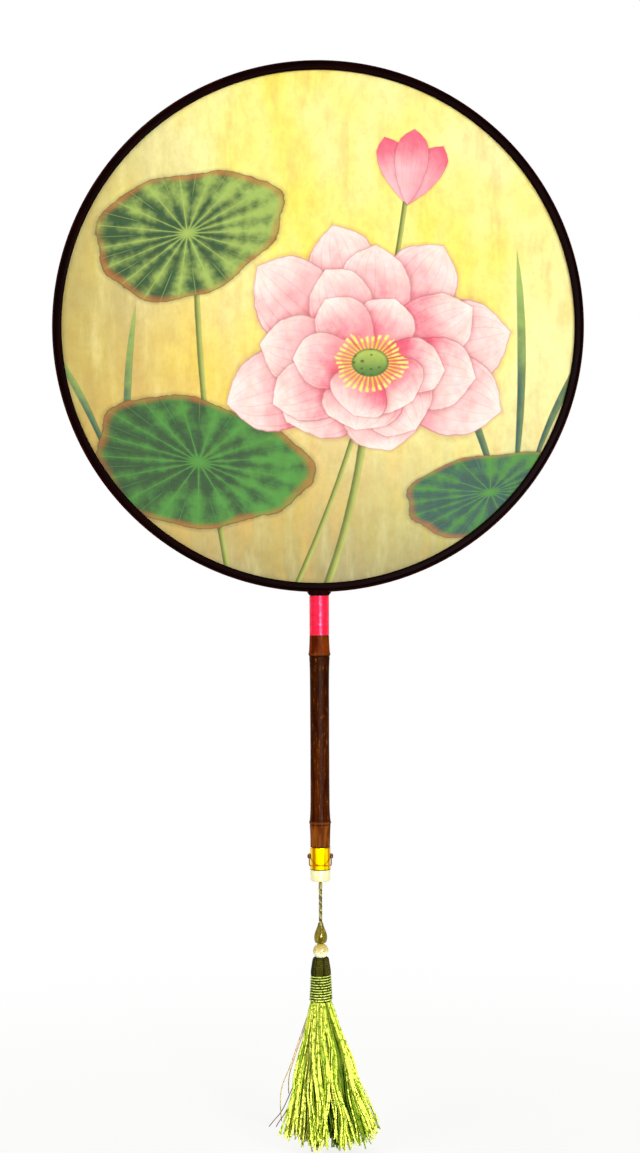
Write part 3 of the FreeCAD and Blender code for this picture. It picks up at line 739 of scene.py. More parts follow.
def painted_silk():
    """Silk painted with a lotus spray of this builder's own layout, on a gold ground."""
    material, recipe = new_finish("lotus_painting")
    place = on_face(recipe)
    wobble = recipe.noise(place, (11, 11, 11), 3.0, 0.65)
    x, y, _ = recipe.split(place)
    ruffle = wobble * 0.16 - 0.08
    tone = silk_ground(recipe, place, x, y)
    groups = {"petal": petal_group(), "leaf": leaf_group(), "stem": stem_group(), "heart": heart_group()}

    def lay(kind, root, degrees, size, *colours, **numbers):
        """Paint one motif over what is there."""
        nonlocal tone
        length, width = size
        turn = math.radians(degrees)
        tone = recipe.node("ShaderNodeGroup", {
            "Ground": tone, "X": x, "Y": y, "Ruffle": ruffle, "Root X": root[0], "Root Y": root[1],
            "Along X": math.cos(turn) / length, "Along Y": math.sin(turn) / length,
            "Across X": -math.sin(turn) / width, "Across Y": math.cos(turn) / width,
            **dict(zip(MOTIF_COLOURS[kind], colours)), **numbers,
        }, node_tree=groups[kind])

    for root, degrees, length, width, bend in BLADES:
        lay("petal", root, degrees, (length, width), LEAF_BLUE, LEAF_PALE, STEM_DARK, Bend=bend)
    for root, tip, width, bend in STEMS:
        run = Vector(tip) - Vector(root)
        degrees = math.degrees(math.atan2(run.y, run.x))
        lay("stem", root, degrees, (run.length, width), STEM_DARK, STEM_LIGHT, Bend=bend)
    for middle, degrees, width, height, dark, light in LEAVES:
        lay("leaf", middle, degrees, (width, height), dark, light, LEAF_RUST, Mottle=wobble)
    for degrees, length, width, bend in BUD_PETALS:
        lay("petal", BUD, degrees, (length, width), PETAL_BLUSH, PETAL_ROSE, PETAL_LINE, Bend=bend)
    for degrees, length, width, bend in bloom_petals():
        lay("petal", BLOOM, degrees, (length, width), PETAL_ROSE, PETAL_PALE, PETAL_LINE, Bend=bend)
    lay("heart", BLOOM, 0.0, HEART_SIZE)
    wash = recipe.noise(place, (1 / 0.05, 1 / 0.07, 1), 5.0, 0.7)
    tone = recipe.mix(recipe.step(wash, 0.35, 0.72, 0.0, 0.32), tone, WASH, "MULTIPLY")
    woven(recipe, tone, 0.10, 0.62)
    return material


def woven(recipe, tone, depth, roughness):
    """Finish a silk with its weave, fine crossing threads that darken it by a depth between them."""
    warp = recipe.noise(recipe.place(), (5200, 1, 130))
    weft = recipe.noise(recipe.place(), (110, 1, 4200))
    weave = (warp + weft) * 0.5
    recipe.surface(
        Base_Color=recipe.over(tone, TAN, weave, 0.2, 0.8, depth, 0.0),
        Roughness=roughness,
        Specular_IOR_Level=0.06,
        Sheen_Weight=0.12,
        Normal=recipe.bump(weave, 0.00003),
    )


def plain_silk():
    """Undyed cream silk with its weave."""
    material, recipe = new_finish("plain_silk")
    cloud = recipe.noise(on_face(recipe), (2, 2, 1), 3.0)
    woven(recipe, recipe.mix(cloud, colour(246, 226, 150), colour(250, 240, 196)), 0.16, 0.6)
    return material


def brown_bamboo():
    """Stained bamboo: fine fibres, pale flecks, dark node scars, a lighter stub and butt, and a grip that
    darkens towards its top; a painted highlight rings each node's ridge and painted shade darkens the culm
    just above the ferrule.
    """
    material, recipe = new_finish("brown_bamboo")
    skin, height = round_the_handle(recipe)
    fibre = recipe.noise(skin, (5200, 1, 70), 3.0, 0.6)
    cloud = recipe.noise(skin, (380, 1, 60), 3.0, 0.6)
    fleck = recipe.noise(skin, (1500, 1, 260), 3.0, 0.7)
    stub = recipe.over(colour(76, 18, 0), colour(128, 50, 0), cloud, 0.36, 0.64)
    butt = recipe.over(colour(92, 38, 4), colour(150, 82, 24), cloud, 0.36, 0.64)
    tone = recipe.layers(
        colour(44, 10, 0),
        (colour(86, 34, 0), cloud, 0.3, 0.7),
        (colour(34, 8, 0), height, LOWER_NODE, UPPER_NODE, 0.0, 0.55),
        (stub, height, UPPER_NODE - 0.0004, UPPER_NODE + 0.0006),
        (butt, height, LOWER_NODE - 0.0006, LOWER_NODE + 0.0004, 1.0, 0.0),
    )
    speckle = recipe.step(fleck, 0.56, 0.70, 0.0, 0.8) * recipe.step(cloud, 0.35, 0.6)
    scar = recipe.nearest(height, UPPER_NODE - NODE_SCAR_DROP, LOWER_NODE - NODE_SCAR_DROP)
    ridge_highlight = recipe.nearest(height, UPPER_NODE, LOWER_NODE)
    tone = recipe.layers(
        recipe.mix(speckle, tone, colour(168, 100, 34)),
        (colour(32, 10, 2), fibre, 0.5, 0.85, 0.0, 0.55),
        (colour(26, 9, 2), scar, 0.0001, 0.0006, 0.6, 0.0),
        # Painted highlight: a lighter ring on each node's ridge.
        (colour(134, 72, 40), ridge_highlight, 0.0002, 0.0007, 0.4, 0.0),
        # Painted shade: a dark band on the culm just above the ferrule's top.
        (colour(40, 12, 0), height, FERRULE_TOP + 0.0002, FERRULE_TOP + 0.0009, 0.75, 0.0),
    )
    recipe.surface(
        Base_Color=tone,
        Roughness=recipe.step(cloud, 0.25, 0.75, 0.28, 0.46),
        Specular_IOR_Level=0.01,
        Normal=recipe.bump(fibre, 0.00005),
    )
    return material


def mottled(name, scales, dark, light, tones=(0.3, 0.7), grain=(3.0, 0.6, 0.0), roughness=(0.6, 0.6),
            relief=0.0, **sockets):
    """A finish mottled by noise, which mixes its two colours and sets its roughness and relief."""
    material, recipe = new_finish(name)
    mottle = recipe.noise(recipe.place(), scales, *grain)
    if relief:
        sockets["Normal"] = recipe.bump(mottle, relief)
    recipe.surface(
        Base_Color=recipe.over(dark, light, mottle, *tones),
        Roughness=recipe.step(mottle, 0.3, 0.7, *roughness),
        **sockets,
    )
    return material


def skirt_shadow(recipe):
    """How deep inside the skirt a thread lies, from 0 at the outside to nearly 1 at the core."""
    x, y, z = recipe.split(recipe.place())
    fall = (NECK_FOOT - z) / SKIRT_LENGTH
    spread = recipe.curve(fall, zip(SKIRT_FALLS, SKIRT_SPREADS))
    lean = recipe.curve(fall, zip(SKIRT_FALLS, SKIRT_LEANS)) * SKIRT_LEAN
    reach = recipe.length((x - lean) / SKIRT_HALF_WIDTH, y / SKIRT_HALF_DEPTH)
    return recipe.step(reach / spread, 0.50, 0.93, 0.90, 0.0)


def neck_shadow(recipe):
    """How far the folded threads lie in the dark between the turns of the binding."""
    _, _, height = recipe.split(recipe.place())
    return recipe.step(height, NECK_TOP - NECK_DIP, NECK_TOP, 0.85, 0.0)


def twisted_thread(name, dark, middle, light, twists, roughness, gloss, dye, dashes=44, relief=0.00012,
                   shadow=None):
    """Twisted shiny thread whose highlights take its dye. Its UV map runs along and round each thread."""
    material, recipe = new_finish(name)
    along, across, _ = recipe.split(recipe.place("UV"))
    ply = recipe.math("PINGPONG", (along * twists + across) * 2.0, 0.5)
    own = recipe.node("ShaderNodeNewGeometry", output="Random Per Island")
    dash = recipe.noise(recipe.join(along, own, 0.0), (dashes, 90, 1))
    # Painted shade and painted highlight: the dark and light tones are shaded and lit copies of the one dye,
    # laid at random over whole threads and in dashes along them.
    tone = recipe.layers(
        middle,
        (light, dash * 0.8 + own * 0.5, 0.3, 0.8),
        (dark, own, 0.0, 0.55, 0.85, 0.0),
        (dark, dash, 0.36, 0.52, 0.8, 0.0),
        # Painted shade: a dark line in the groove of each twist.
        (dark, ply, 0.0, 0.20, 0.92, 0.0),
    )
    if shadow:
        tone = recipe.mix(shadow(recipe), tone, dark)
    recipe.surface(
        Base_Color=tone,
        Roughness=roughness,
        Specular_IOR_Level=gloss,
        Specular_Tint=dye,
        Normal=recipe.bump(recipe.step(ply, 0.0, 0.4), relief),
    )
    return material


def brass():
    """Bright brass tube with painted reflection bands up its length, tarnish at its lips and a painted
    shadow line at its foot.
    """
    material, recipe = new_finish("brass")
    skin, height = round_the_handle(recipe)
    # Painted reflection: long streaks of lighter and darker brass round the tube.
    band = recipe.noise(skin, (620, 1, 12), 3.0, 0.6)
    fine = recipe.noise(skin, (6000, 1, 180))
    lip = recipe.nearest(height, FERRULE_TOP, FERRULE_FOOT)
    tone = recipe.layers(
        colour(190, 118, 0),
        (colour(255, 226, 0), band, 0.36, 0.62),
        (colour(170, 100, 0), lip, 0.0001, 0.0008, 0.6, 0.0),
        # Painted shadow: a dark line at the foot, in the gap to the plug.
        (colour(52, 30, 0), abs(height - FERRULE_FOOT), 0.0002, 0.0005, 0.9, 0.0),
    )
    recipe.surface(
        Base_Color=tone,
        Metallic=1.0,
        Roughness=recipe.step(fine, 0.3, 0.7, 0.18, 0.32),
        Normal=recipe.bump(fine, 0.000012),
    )
    return material


def pearl_glass():
    """Milky pearl glass, white below, with painted shade on its top under the drop bead."""
    material, recipe = new_finish("pearl_glass")
    wisp = recipe.noise(recipe.place(), (420, 420, 420), 3.0, 0.6, 0.8)
    _, _, height = recipe.split(recipe.place())
    # Painted shade: the top turns khaki where the drop bead above shades it.
    top_shade = recipe.step(wisp * PEARL_RADIUS + height, *PEARL_SHADE_HEIGHTS)
    recipe.surface(
        Base_Color=recipe.mix(top_shade, colour(255, 254, 214), colour(210, 188, 96)),
        Roughness=recipe.step(wisp, 0.3, 0.7, 0.08, 0.2),
        Transmission_Weight=0.12,
        IOR=1.45,
        Coat_Weight=0.25,
        Coat_Roughness=0.08,
    )
    return material


def swung(shape, centre, axis, steps):
    """Swing a line once round an axis."""
    bmesh.ops.spin(shape, geom=shape.verts[:] + shape.edges[:], cent=centre, axis=axis, dvec=(0, 0, 0),
                   angle=math.tau, steps=steps, use_merge=True)
    return closed(shape)


def spun(outline, centre, axis, steps):
    """Turn a closed outline of points about an axis."""
    shape = bmesh.new()
    corners = [shape.verts.new(point) for point in outline]
    for pair in zip(corners, corners[1:] + corners[:1]):
        shape.edges.new(pair)
    return swung(shape, centre, axis, steps)


def turned(outline, steps=TURNED_STEPS):
    """Turn a closed outline of (radius, height) about the handle's axis."""
    return spun([(radius, 0, height) for radius, height in outline], (0, 0, 0), UP, steps)


def closed(shape):
    """Merge seams and poles and turn every face outwards."""
    bmesh.ops.remove_doubles(shape, verts=shape.verts, dist=MERGE_GAP)
    bmesh.ops.dissolve_degenerate(shape, edges=shape.edges, dist=FLAT_GAP)
    bmesh.ops.recalc_face_normals(shape, faces=shape.faces)
    return shape


def rounded(shape, width, segments=3, where=lambda vert: True, clamp=True):
    """Round the sharp edges whose two ends lie where they should."""
    sharp = [edge for edge in shape.edges if edge.is_manifold and edge.calc_face_angle() > SHARP_LIMIT
             and all(where(vert) for vert in edge.verts)]
    bmesh.ops.bevel(shape, geom=sharp, offset=width, segments=segments, profile=0.5,
                    affect="EDGES", material=-1, clamp_overlap=clamp)
    return shape


def swept(name, paths, radius=0.0, section=1, order=0, resolution=3):
    """A mesh of round threads along paths of (place, thickness share), or of bare lines with no radius."""
    curve = bpy.data.curves.new(name, "CURVE")
    curve.dimensions = "3D"
    curve.bevel_depth = radius
    curve.bevel_resolution = section
    curve.use_fill_caps = True
    for path in paths:
        spline = curve.splines.new("NURBS" if order else "POLY")
        spline.points.add(len(path) - 1)
        for point, (place, thickness) in zip(spline.points, path):
            point.co = (*place, 1)
            point.radius = thickness
        if order:
            spline.order_u = order
            spline.use_endpoint_u = True
            spline.resolution_u = resolution
    holder = bpy.data.objects.new(name, curve)
    mesh = bpy.data.meshes.new_from_object(holder)
    bpy.data.objects.remove(holder)
    bpy.data.curves.remove(curve)
    return mesh


def threads(name, paths, radius, **manner):
    """Round threads along paths, with UVs along and round each."""
    mesh = swept(name, paths, radius, **manner)
    shape = bmesh.new()
    shape.from_mesh(mesh)
    bpy.data.meshes.remove(mesh)
    return closed(shape)


def baked(name, shape):
    """Turn a finished shape into a mesh."""
    mesh = bpy.data.meshes.new(name)
    shape.to_mesh(mesh)
    shape.free()
    return mesh


def joined(first, *others):
    """Put several shapes into one."""
    for other in others:
        mesh = baked("joined", other)
        first.from_mesh(mesh)
        bpy.data.meshes.remove(mesh)
    return first


def coil(turns, low, high, foot, top, sink=0.0):
    """A path wound up a core from foot to top. Both ends are at the back and sink into the core."""
    path = []
    for number in range(turns * COIL_POINTS + 1):
        turn = number / COIL_POINTS
        share = turn / turns
        tuck = max(1 - min(turn, turns - turn) / COIL_TUCK, 0.0)
        radius = low + (high - low) * share - sink * tuck
        outward = Vector((-math.sin(math.tau * turn), math.cos(math.tau * turn), 0))
        path.append((outward * radius + UP * (foot + (top - foot) * share), 1.0))
    return path


def new_object(name, data):
    """Put a mesh, a lamp or a camera into the scene."""
    holder = bpy.data.objects.new(name, data)
    bpy.context.scene.collection.objects.link(holder)
    return holder


def make_piece(name, shape, material, slot, body, *nodes):
    """Turn a finished shape into an object that rides on a body and stands for CAD nodes."""
    mesh = baked(name, shape)
    mesh.shade_smooth()
    mesh.set_sharp_from_angle(angle=SMOOTH_LIMIT)
    mesh.materials.append(material)
    piece = new_object(name, mesh)
    if nodes:
        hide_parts(*nodes)
    if body:
        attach(piece, body)
    return piece


def dress_node(node, material):
    """Give a CAD node that stays its own finish."""
    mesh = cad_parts[node].data
    mesh.materials.clear()
    mesh.materials.append(material)


def on_rim(outline):
    """Place an outline of (radius, depth) beside the rim's axis."""
    return [FACE_CENTRE + Vector((radius, depth, 0)) for radius, depth in outline]


def edge_band(material):
    """The thin band round the seam of the two hoops."""
    half_depth = span("rim_edge_band").y / 2
    outline = [(HOOP_OUTER, -half_depth), (RIM_RADIUS, -half_depth), (RIM_RADIUS, half_depth),
               (HOOP_OUTER, half_depth)]
    band = spun(on_rim(outline), FACE_CENTRE, FRONT, RIM_STEPS)
    make_piece("edge_band", rounded(band, BAND_ROUND), material, "lacquered_bamboo", "fan", "rim_edge_band")


def rim_hoop(label, side, material):
    """One of the two bent hoops that grip the silk, with a rebate for it and a rounded face."""
    rebate = SILK_RADIUS + REBATE_GAP
    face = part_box("front_rim_hoop")[0].y * side
    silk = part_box("painted_silk")[0].y * side
    outline = [(HOOP_INNER, silk), (rebate, silk), (rebate, 0), (HOOP_OUTER, 0), (HOOP_OUTER, face),
               (HOOP_INNER, face)]
    hoop = spun(on_rim(outline), FACE_CENTRE, FRONT, RIM_STEPS)
    rounded(hoop, HOOP_ROUND, segments=4, where=lambda vert: abs(vert.co.y - face) < TOUCH, clamp=False)
    make_piece(f"{label}_hoop", hoop, material, "lacquered_bamboo", "fan", f"{label}_rim_hoop")


def silk_swell(place):
    """How far the stretched silk stands proud of its flat plane, nothing at the rim."""
    offset = place - FACE_CENTRE
    share = min(offset.length / HOOP_INNER, 1.0)
    swell = sum(weight * (noise.noise(Vector((offset.x * across, layer, offset.z * up))) + 1)
                for weight, across, layer, up in SILK_SWELLS)
    return SILK_RIPPLE * swell * (1 - share ** SILK_FADE)


def silk_sheet(name, node, outward, material, slot):
    """A thin stretched disc of silk whose face stands a hair proud in soft swells."""
    low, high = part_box(node)
    face = low.y if outward < 0 else high.y
    shape = bmesh.new()
    line = [shape.verts.new(FACE_CENTRE + Vector((SILK_RADIUS * number / DISC_RINGS, face, 0)))
            for number in range(DISC_RINGS + 1)]
    for pair in zip(line, line[1:]):
        shape.edges.new(pair)
    swung(shape, FACE_CENTRE, FRONT, DISC_STEPS)
    for vert in shape.verts:
        vert.co.y += outward * silk_swell(vert.co)
    if shape.faces[:][0].normal.y * outward < 0:
        bmesh.ops.reverse_faces(shape, faces=shape.faces)
    bmesh.ops.solidify(shape, geom=shape.faces[:], thickness=high.y - low.y)
    piece = make_piece(name, shape, material, slot, "fan", node)


def culm_radius(height):
    """The bamboo's outer radius at a height. It swells to each node, a ridge with a scar under it."""
    if height > UPPER_NODE:
        radius = STUB_RADIUS
    elif height < LOWER_NODE:
        radius = BUTT_RADIUS
    else:
        radius = WAIST_RADIUS
    for node in (UPPER_NODE, LOWER_NODE):
        away = height - node
        radius += NODE_SWELL * math.exp(-abs(away) / NODE_REACH)
        radius += NODE_RIDGE * math.exp(-(away / NODE_RIDGE_HALF) ** 2)
        radius -= NODE_SCAR * math.exp(-((away + NODE_SCAR_DROP) / NODE_SCAR_HALF) ** 2)
    return radius


def culm_roughness(place):
    """How far the bamboo's skin swells or sinks at a place, as a share of its radius."""
    return CULM_ROUGH * sum(noise.noise(Vector((place.x * across, place.y * across, place.z * up + start)))
                            for across, up, start in CULM_NOISES)


def bamboo_handle(material):
    """The culm with its bore, its tenon in the ferrule and its pared neck under the thread."""
    rows = [FERRULE_TOP + (WRAP_FOOT - FERRULE_TOP) * number / CULM_ROWS for number in range(CULM_ROWS + 1)]
    outline = [(BORE_RADIUS, CULM_TOP), (BORE_RADIUS, CULM_FOOT), (TENON_RADIUS, CULM_FOOT),
               (TENON_RADIUS, FERRULE_TOP)]
    outline += [(culm_radius(height), height) for height in rows]
    outline += [(NECK_RADIUS, WRAP_FOOT), (NECK_RADIUS, CULM_TOP)]
    shape = turned(outline, CULM_STEPS)
    for vert in shape.verts:
        if FERRULE_TOP < vert.co.z < WRAP_FOOT and math.hypot(vert.co.x, vert.co.y) > TENON_RADIUS:
            scale = 1 + culm_roughness(vert.co)
            vert.co.x *= scale
            vert.co.y *= scale
    make_piece("bamboo_culm", shape, material, "brown_bamboo", "fan", "bamboo_handle")


def red_wrap(material):
    """Fine red silk thread wound tight round the neck, pressed a little flat."""
    half = (WRAP_TOP - WRAP_FOOT) / WRAP_TURNS / 2
    middle = WRAP_RADIUS - half * WRAP_FLATNESS
    path = coil(WRAP_TURNS - 1, middle, middle, WRAP_FOOT + half, WRAP_TOP - half, half)
    shape = threads("red_thread", [path], half * WRAP_PRESS)
    for vert in shape.verts:
        radius = vert.co.xy.length
        scale = (middle + (radius - middle) * WRAP_FLATNESS) / radius
        vert.co.x *= scale
        vert.co.y *= scale
    make_piece("red_thread", shape, material, "red_thread", "fan", "red_thread_wrap")


def brass_ferrule(material):
    """The brass tube with softly turned lips."""
    bore = FERRULE_RADIUS - FERRULE_WALL
    shape = turned([(bore, FERRULE_FOOT), (FERRULE_RADIUS, FERRULE_FOOT), (FERRULE_RADIUS, FERRULE_TOP),
                    (bore, FERRULE_TOP)])
    make_piece("ferrule_tube", rounded(shape, FERRULE_LIP / 2), material, "brass", "fan", "brass_ferrule")


def cross_pin(material):
    """The pin with two domed heads."""
    seat = PIN_END - PIN_HEAD_HEIGHT
    dome = [(seat + PIN_HEAD_HEIGHT * math.sin(angle), PIN_HEAD * math.cos(angle))
            for angle in (QUARTER * step / PIN_ROWS for step in range(PIN_ROWS + 1))]
    right = [(seat, PIN_RADIUS)] + dome
    left = [(-reach, radius) for reach, radius in reversed(right)]
    outline = [Vector((reach, 0, PIN_HEIGHT + radius)) for reach, radius in left + right]
    shape = spun(outline, (0, 0, PIN_HEIGHT), ACROSS, PIN_STEPS)
    make_piece("stud_pin", shape, material, "dark_metal", "fan", "cross_pin")


def hanging_bail(material):
    """The wire bail: a flattened eye on each stud and a loop that lies across the ferrule's front."""
    low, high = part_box("hanging_bail")
    eye_x = (high.x - low.x) / 2 - BAIL_WIRE / 2
    pin = Vector((0, 0, PIN_HEIGHT))
    arm = Vector((0, low.y + BAIL_WIRE / 2, low.z + BAIL_WIRE / 2)) - pin
    down = arm.normalized()
    left = [(-eye_x, down * (EYE_RADIUS * EYE_GRIP)), (-eye_x, arm - down * BAIL_CORNER), (-eye_x, arm),
            (BAIL_CORNER - eye_x, arm)]
    places = left + [(-x, drop) for x, drop in reversed(left)]
    path = [(pin + ACROSS * x + drop, 1.0) for x, drop in places]
    shape = threads("wire_bail", [path], BAIL_WIRE / 2, section=3, order=3, resolution=8)
    half = EYE_THICKNESS / 2
    hole = PIN_RADIUS + EYE_PLAY
    for x in (-eye_x, eye_x):
        centre = pin + ACROSS * x
        outline = [centre + Vector((reach, 0, radius)) for reach, radius in
                   ((-half, hole), (half, hole), (half, EYE_RADIUS), (-half, EYE_RADIUS))]
        joined(shape, rounded(spun(outline, centre, ACROSS, EYE_STEPS), EYE_ROUND, segments=2))
    make_piece("wire_bail", shape, material, "brass", "bail", "hanging_bail")


def on_plug_foot(vert):
    """Whether a vertex of the plug lies on its foot, outside the hole."""
    return abs(vert.co.z - PLUG_FOOT) < TOUCH and vert.co.xy.length > PLUG_BORE + TOUCH


def bone_plug(material):
    """The end plug with a rounded foot, a tenon in the ferrule and the cord's hole."""
    shape = turned([
        (PLUG_BORE, PLUG_FOOT), (PLUG_RADIUS, PLUG_FOOT), (PLUG_RADIUS, FERRULE_FOOT),
        (TENON_RADIUS, FERRULE_FOOT), (TENON_RADIUS, PLUG_TOP), (PLUG_BORE, PLUG_TOP),
    ])
    rounded(shape, PLUG_ROUND, segments=5, where=on_plug_foot, clamp=False)
    rounded(shape, PLUG_EDGE, segments=2)
    make_piece("end_plug", shape, material, "pale_bone", "fan", "bone_end_plug")


def cord_line():
    """Points of the cord's middle line, from its route as one curve."""
    mesh = swept("cord_route", [[(place, 1.0) for place in CORD_ROUTE]], order=3, resolution=CORD_ROWS)
    points = [vert.co.copy() for vert in mesh.vertices]
    bpy.data.meshes.remove(mesh)
    return points


def plies(line):
    """The cord's strands twisted round a line, each as a path."""
    paths = []
    for number in range(CORD_PLIES):
        run = 0.0
        path = []
        for index, place in enumerate(line):
            run += (place - line[index - 1]).length if index else 0.0
            angle = math.tau * (run / CORD_LAY + number / CORD_PLIES)
            path.append((place + Vector((math.cos(angle), math.sin(angle), 0)) * PLY_REACH, 1.0))
        paths.append(path)
    return paths


def hanging_cord(line, material):
    """The twisted cord that hangs below the hitch."""
    rope = threads("olive_cord", plies(line), PLY_RADIUS, section=4)
    cord = make_piece("olive_cord", rope, material, "olive_cord", None, "hanging_cord")
    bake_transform(cord)
    return cord


def hitch_knot(material):
    """The whipped hitch under the plug, with a crown turned into its top."""
    middle = HITCH_RADIUS - HITCH_THREAD
    winding = coil(HITCH_TURNS - 1, middle, middle, HITCH_FOOT + HITCH_THREAD,
                   HITCH_TOP - HITCH_THREAD * HITCH_SHOULDER, HITCH_THREAD)
    crown = coil(1, *CROWN_RADII, FRONT_PIVOT + CROWN_LIFT, HITCH_TOP - HITCH_THREAD)
    shape = threads("hitch_knot", [winding, crown], HITCH_THREAD, section=4)
    return make_piece("hitch_knot", shape, material, "olive_cord", "hitch", "cord_hitch_knot")


def plug_cord(material):
    """The cord's stretch through the plug, with the stopper knot that keeps it there."""
    drop = PLUG_TOP - PLUG_FOOT - PLUG_CORE_RADIUS
    line = [UP * (PLUG_TOP - drop * number / PLUG_CORD_ROWS) for number in range(PLUG_CORD_ROWS + 1)]
    shape = threads("plug_cord", plies(line), PLUG_PLY_RADIUS)
    core = [(UP * (PLUG_FOOT + 2 * PLUG_CORE_RADIUS), 1.0), (UP * (HITCH_TOP + PLUG_CORE_PLAY), 1.0)]
    winding = coil(STOPPER_TURNS, STOPPER_RADIUS, STOPPER_RADIUS, PLUG_TOP + STOPPER_THREAD,
                   PLUG_TOP + STOPPER_THREAD * (STOPPER_TURNS + 1))
    joined(shape, threads("plug_core", [core], PLUG_CORE_RADIUS, section=3),
           threads("stopper", [winding], STOPPER_THREAD))
    make_piece("plug_cord", shape, material, "olive_cord", "fan", "stopper_knot")


def bead(name, outline, material, slot, node):
    """A turned bead with a hole for the cord."""
    return make_piece(name, turned(outline, BEAD_STEPS), material, slot, "beads", node)


def drop_bead(material):
    """The drop, round below and drawn out to a narrow top."""
    belly = DROP_FOOT + DROP_BELLY
    outline = [(BEAD_BORE, DROP_TOP), (BEAD_BORE, DROP_FOOT)]
    for step in range(DROP_FOOT_ROWS + 1):
        angle = QUARTER * step / DROP_FOOT_ROWS
        outline.append((DROP_FOOT_RADIUS + (DROP_RADIUS - DROP_FOOT_RADIUS) * math.sin(angle),
                        belly - DROP_BELLY * math.cos(angle)))
    for step in range(1, DROP_NECK_ROWS + 1):
        share = step / DROP_NECK_ROWS
        swell = (1 + math.cos(math.pi * share)) / 2
        outline.append((DROP_NECK_RADIUS + (DROP_RADIUS - DROP_NECK_RADIUS) * swell ** DROP_FULLNESS,
                        belly + (DROP_TOP - belly) * share))
    return bead("smoky_drop", outline, material, "smoky_glass", "drop_bead")


def pearl_bead(material):
    """The round pearl bead."""
    start = math.asin(BEAD_BORE / PEARL_RADIUS)
    angles = (start + (math.pi - 2 * start) * step / PEARL_ROWS for step in range(PEARL_ROWS + 1))
    outline = [(PEARL_RADIUS * math.sin(angle), PEARL_CENTRE - PEARL_RADIUS * math.cos(angle))
               for angle in angles]
    return bead("pearl_ball", outline, material, "pearl_glass", "pearl_bead")


def along_shares(fall, shares):
    """Read a value between the skirt's named falls."""
    for low, high, first, last in zip(SKIRT_FALLS, SKIRT_FALLS[1:], shares, shares[1:]):
        if fall <= high:
            return first + (last - first) * max(fall - low, 0.0) / (high - low)
    return shares[-1]


def tassel_head(material):
    """Threads folded over the head's top, round the pearl's seat, and down under the binding."""
    draw = random.Random(HEAD_SEED)
    paths = []
    for number in range(HEAD_THREADS):
        angle = math.tau * (number + draw.uniform(-HEAD_SWAY, HEAD_SWAY)) / HEAD_THREADS
        outward = Vector((math.cos(angle), math.sin(angle), 0))
        lift = draw.uniform(-HEAD_LIFT, HEAD_LIFT)
        reach = draw.uniform(-HEAD_REACH, HEAD_REACH)
        profile = [(radius, HEAD_TOP + height + lift * share) for radius, height, share in HEAD_FOLD]
        profile += [(radius, HEAD_FOOT + height) for radius, height in HEAD_WAIST]
        profile += [(NECK_TOP_RADIUS - HEAD_THREAD_RADIUS, NECK_TOP - NECK_DIP),
                    (NECK_FOOT_RADIUS - HEAD_THREAD_RADIUS, NECK_FOOT)]
        paths.append([(outward * (radius + reach) + UP * height, 1.0) for radius, height in profile])
    shape = threads("head_threads", paths, HEAD_THREAD_RADIUS, order=3)
    return make_piece("head_threads", shape, material, "tassel_thread", "tassel",
                      "tassel_head", "tassel_neck")


def tassel_binding(material):
    """The thick pale thread bound round the tassel's neck."""
    radius = BINDING_THREAD / 2
    low, high = NECK_FOOT_RADIUS + radius, NECK_TOP_RADIUS + radius
    path = coil(BINDING_TURNS, low, high, NECK_FOOT + radius, NECK_TOP - radius, BINDING_THREAD)
    shape = threads("binding_thread", [path], radius, section=2)
    return make_piece("neck_binding", shape, material, "binding_thread", "tassel", "tassel_binding")


def lock_paths(draw, angle, depth):
    """The threads of one lock of the skirt, from the bound neck down to their ragged ends."""
    sway = draw.uniform(-LOCK_SWAY, LOCK_SWAY)
    bow = draw.uniform(*LOCK_BOWS)
    twist = draw.uniform(-LOCK_TWIST, LOCK_TWIST)
    length = draw.uniform(*LOCK_LENGTHS)
    waves = math.tau * draw.uniform(*LOCK_WAVES)
    phase = draw.uniform(0, math.tau)
    root = NECK_FOOT_RADIUS * ROOT_SHARE * depth
    start = Vector((root * math.cos(angle), root * math.sin(angle), NECK_FOOT + ROOT_LIFT))
    paths = []
    for _ in range(LOCK_THREADS):
        own_angle = draw.uniform(0, math.tau)
        own_turn = draw.uniform(-THREAD_TURN, THREAD_TURN)
        own_reach = math.sqrt(draw.random())
        own_length = min(length + draw.gauss(0, THREAD_RAGGED), THREAD_LONGEST)
        thickness = draw.uniform(*THREAD_THICKNESSES)
        curl = draw.gauss(LOCK_CURL * depth, LOCK_CURL_SPREAD)
        path = [(start, ROOT_THICKNESS)]
        for fall in LOCK_STEPS:
            share = fall * own_length
            spread = along_shares(share, SKIRT_SPREADS) * depth * LOCK_SHARE
            turn = angle + twist * fall
            wave = LOCK_WAVE * min(fall / WAVE_START, 1.0)
            bulge = bow * math.sin(math.pi * fall) + curl * max(fall - CURL_START, 0) / (1 - CURL_START)
            bulge += wave * WAVE_DEPTH * math.cos(phase + waves * fall)
            drift = sway * fall * fall + wave * math.sin(phase + waves * fall)
            fray = (LOCK_TOP + (LOCK_FOOT - LOCK_TOP) * fall ** FRAY_POWER) * own_reach
            own = own_angle + own_turn * fall
            shake = SKIRT_SHAKE * fall
            x = (SKIRT_HALF_WIDTH * spread + bulge) * math.cos(turn) - drift * math.sin(turn)
            y = (SKIRT_HALF_DEPTH * spread + bulge) * math.sin(turn) + drift * math.cos(turn)
            x += along_shares(share, SKIRT_LEANS) * SKIRT_LEAN + fray * math.cos(own) + draw.gauss(0, shake)
            y += fray * math.sin(own) + draw.gauss(0, shake)
            path.append((Vector((x, y, NECK_FOOT - SKIRT_LENGTH * share)), thickness))
        paths.append(path)
    return paths


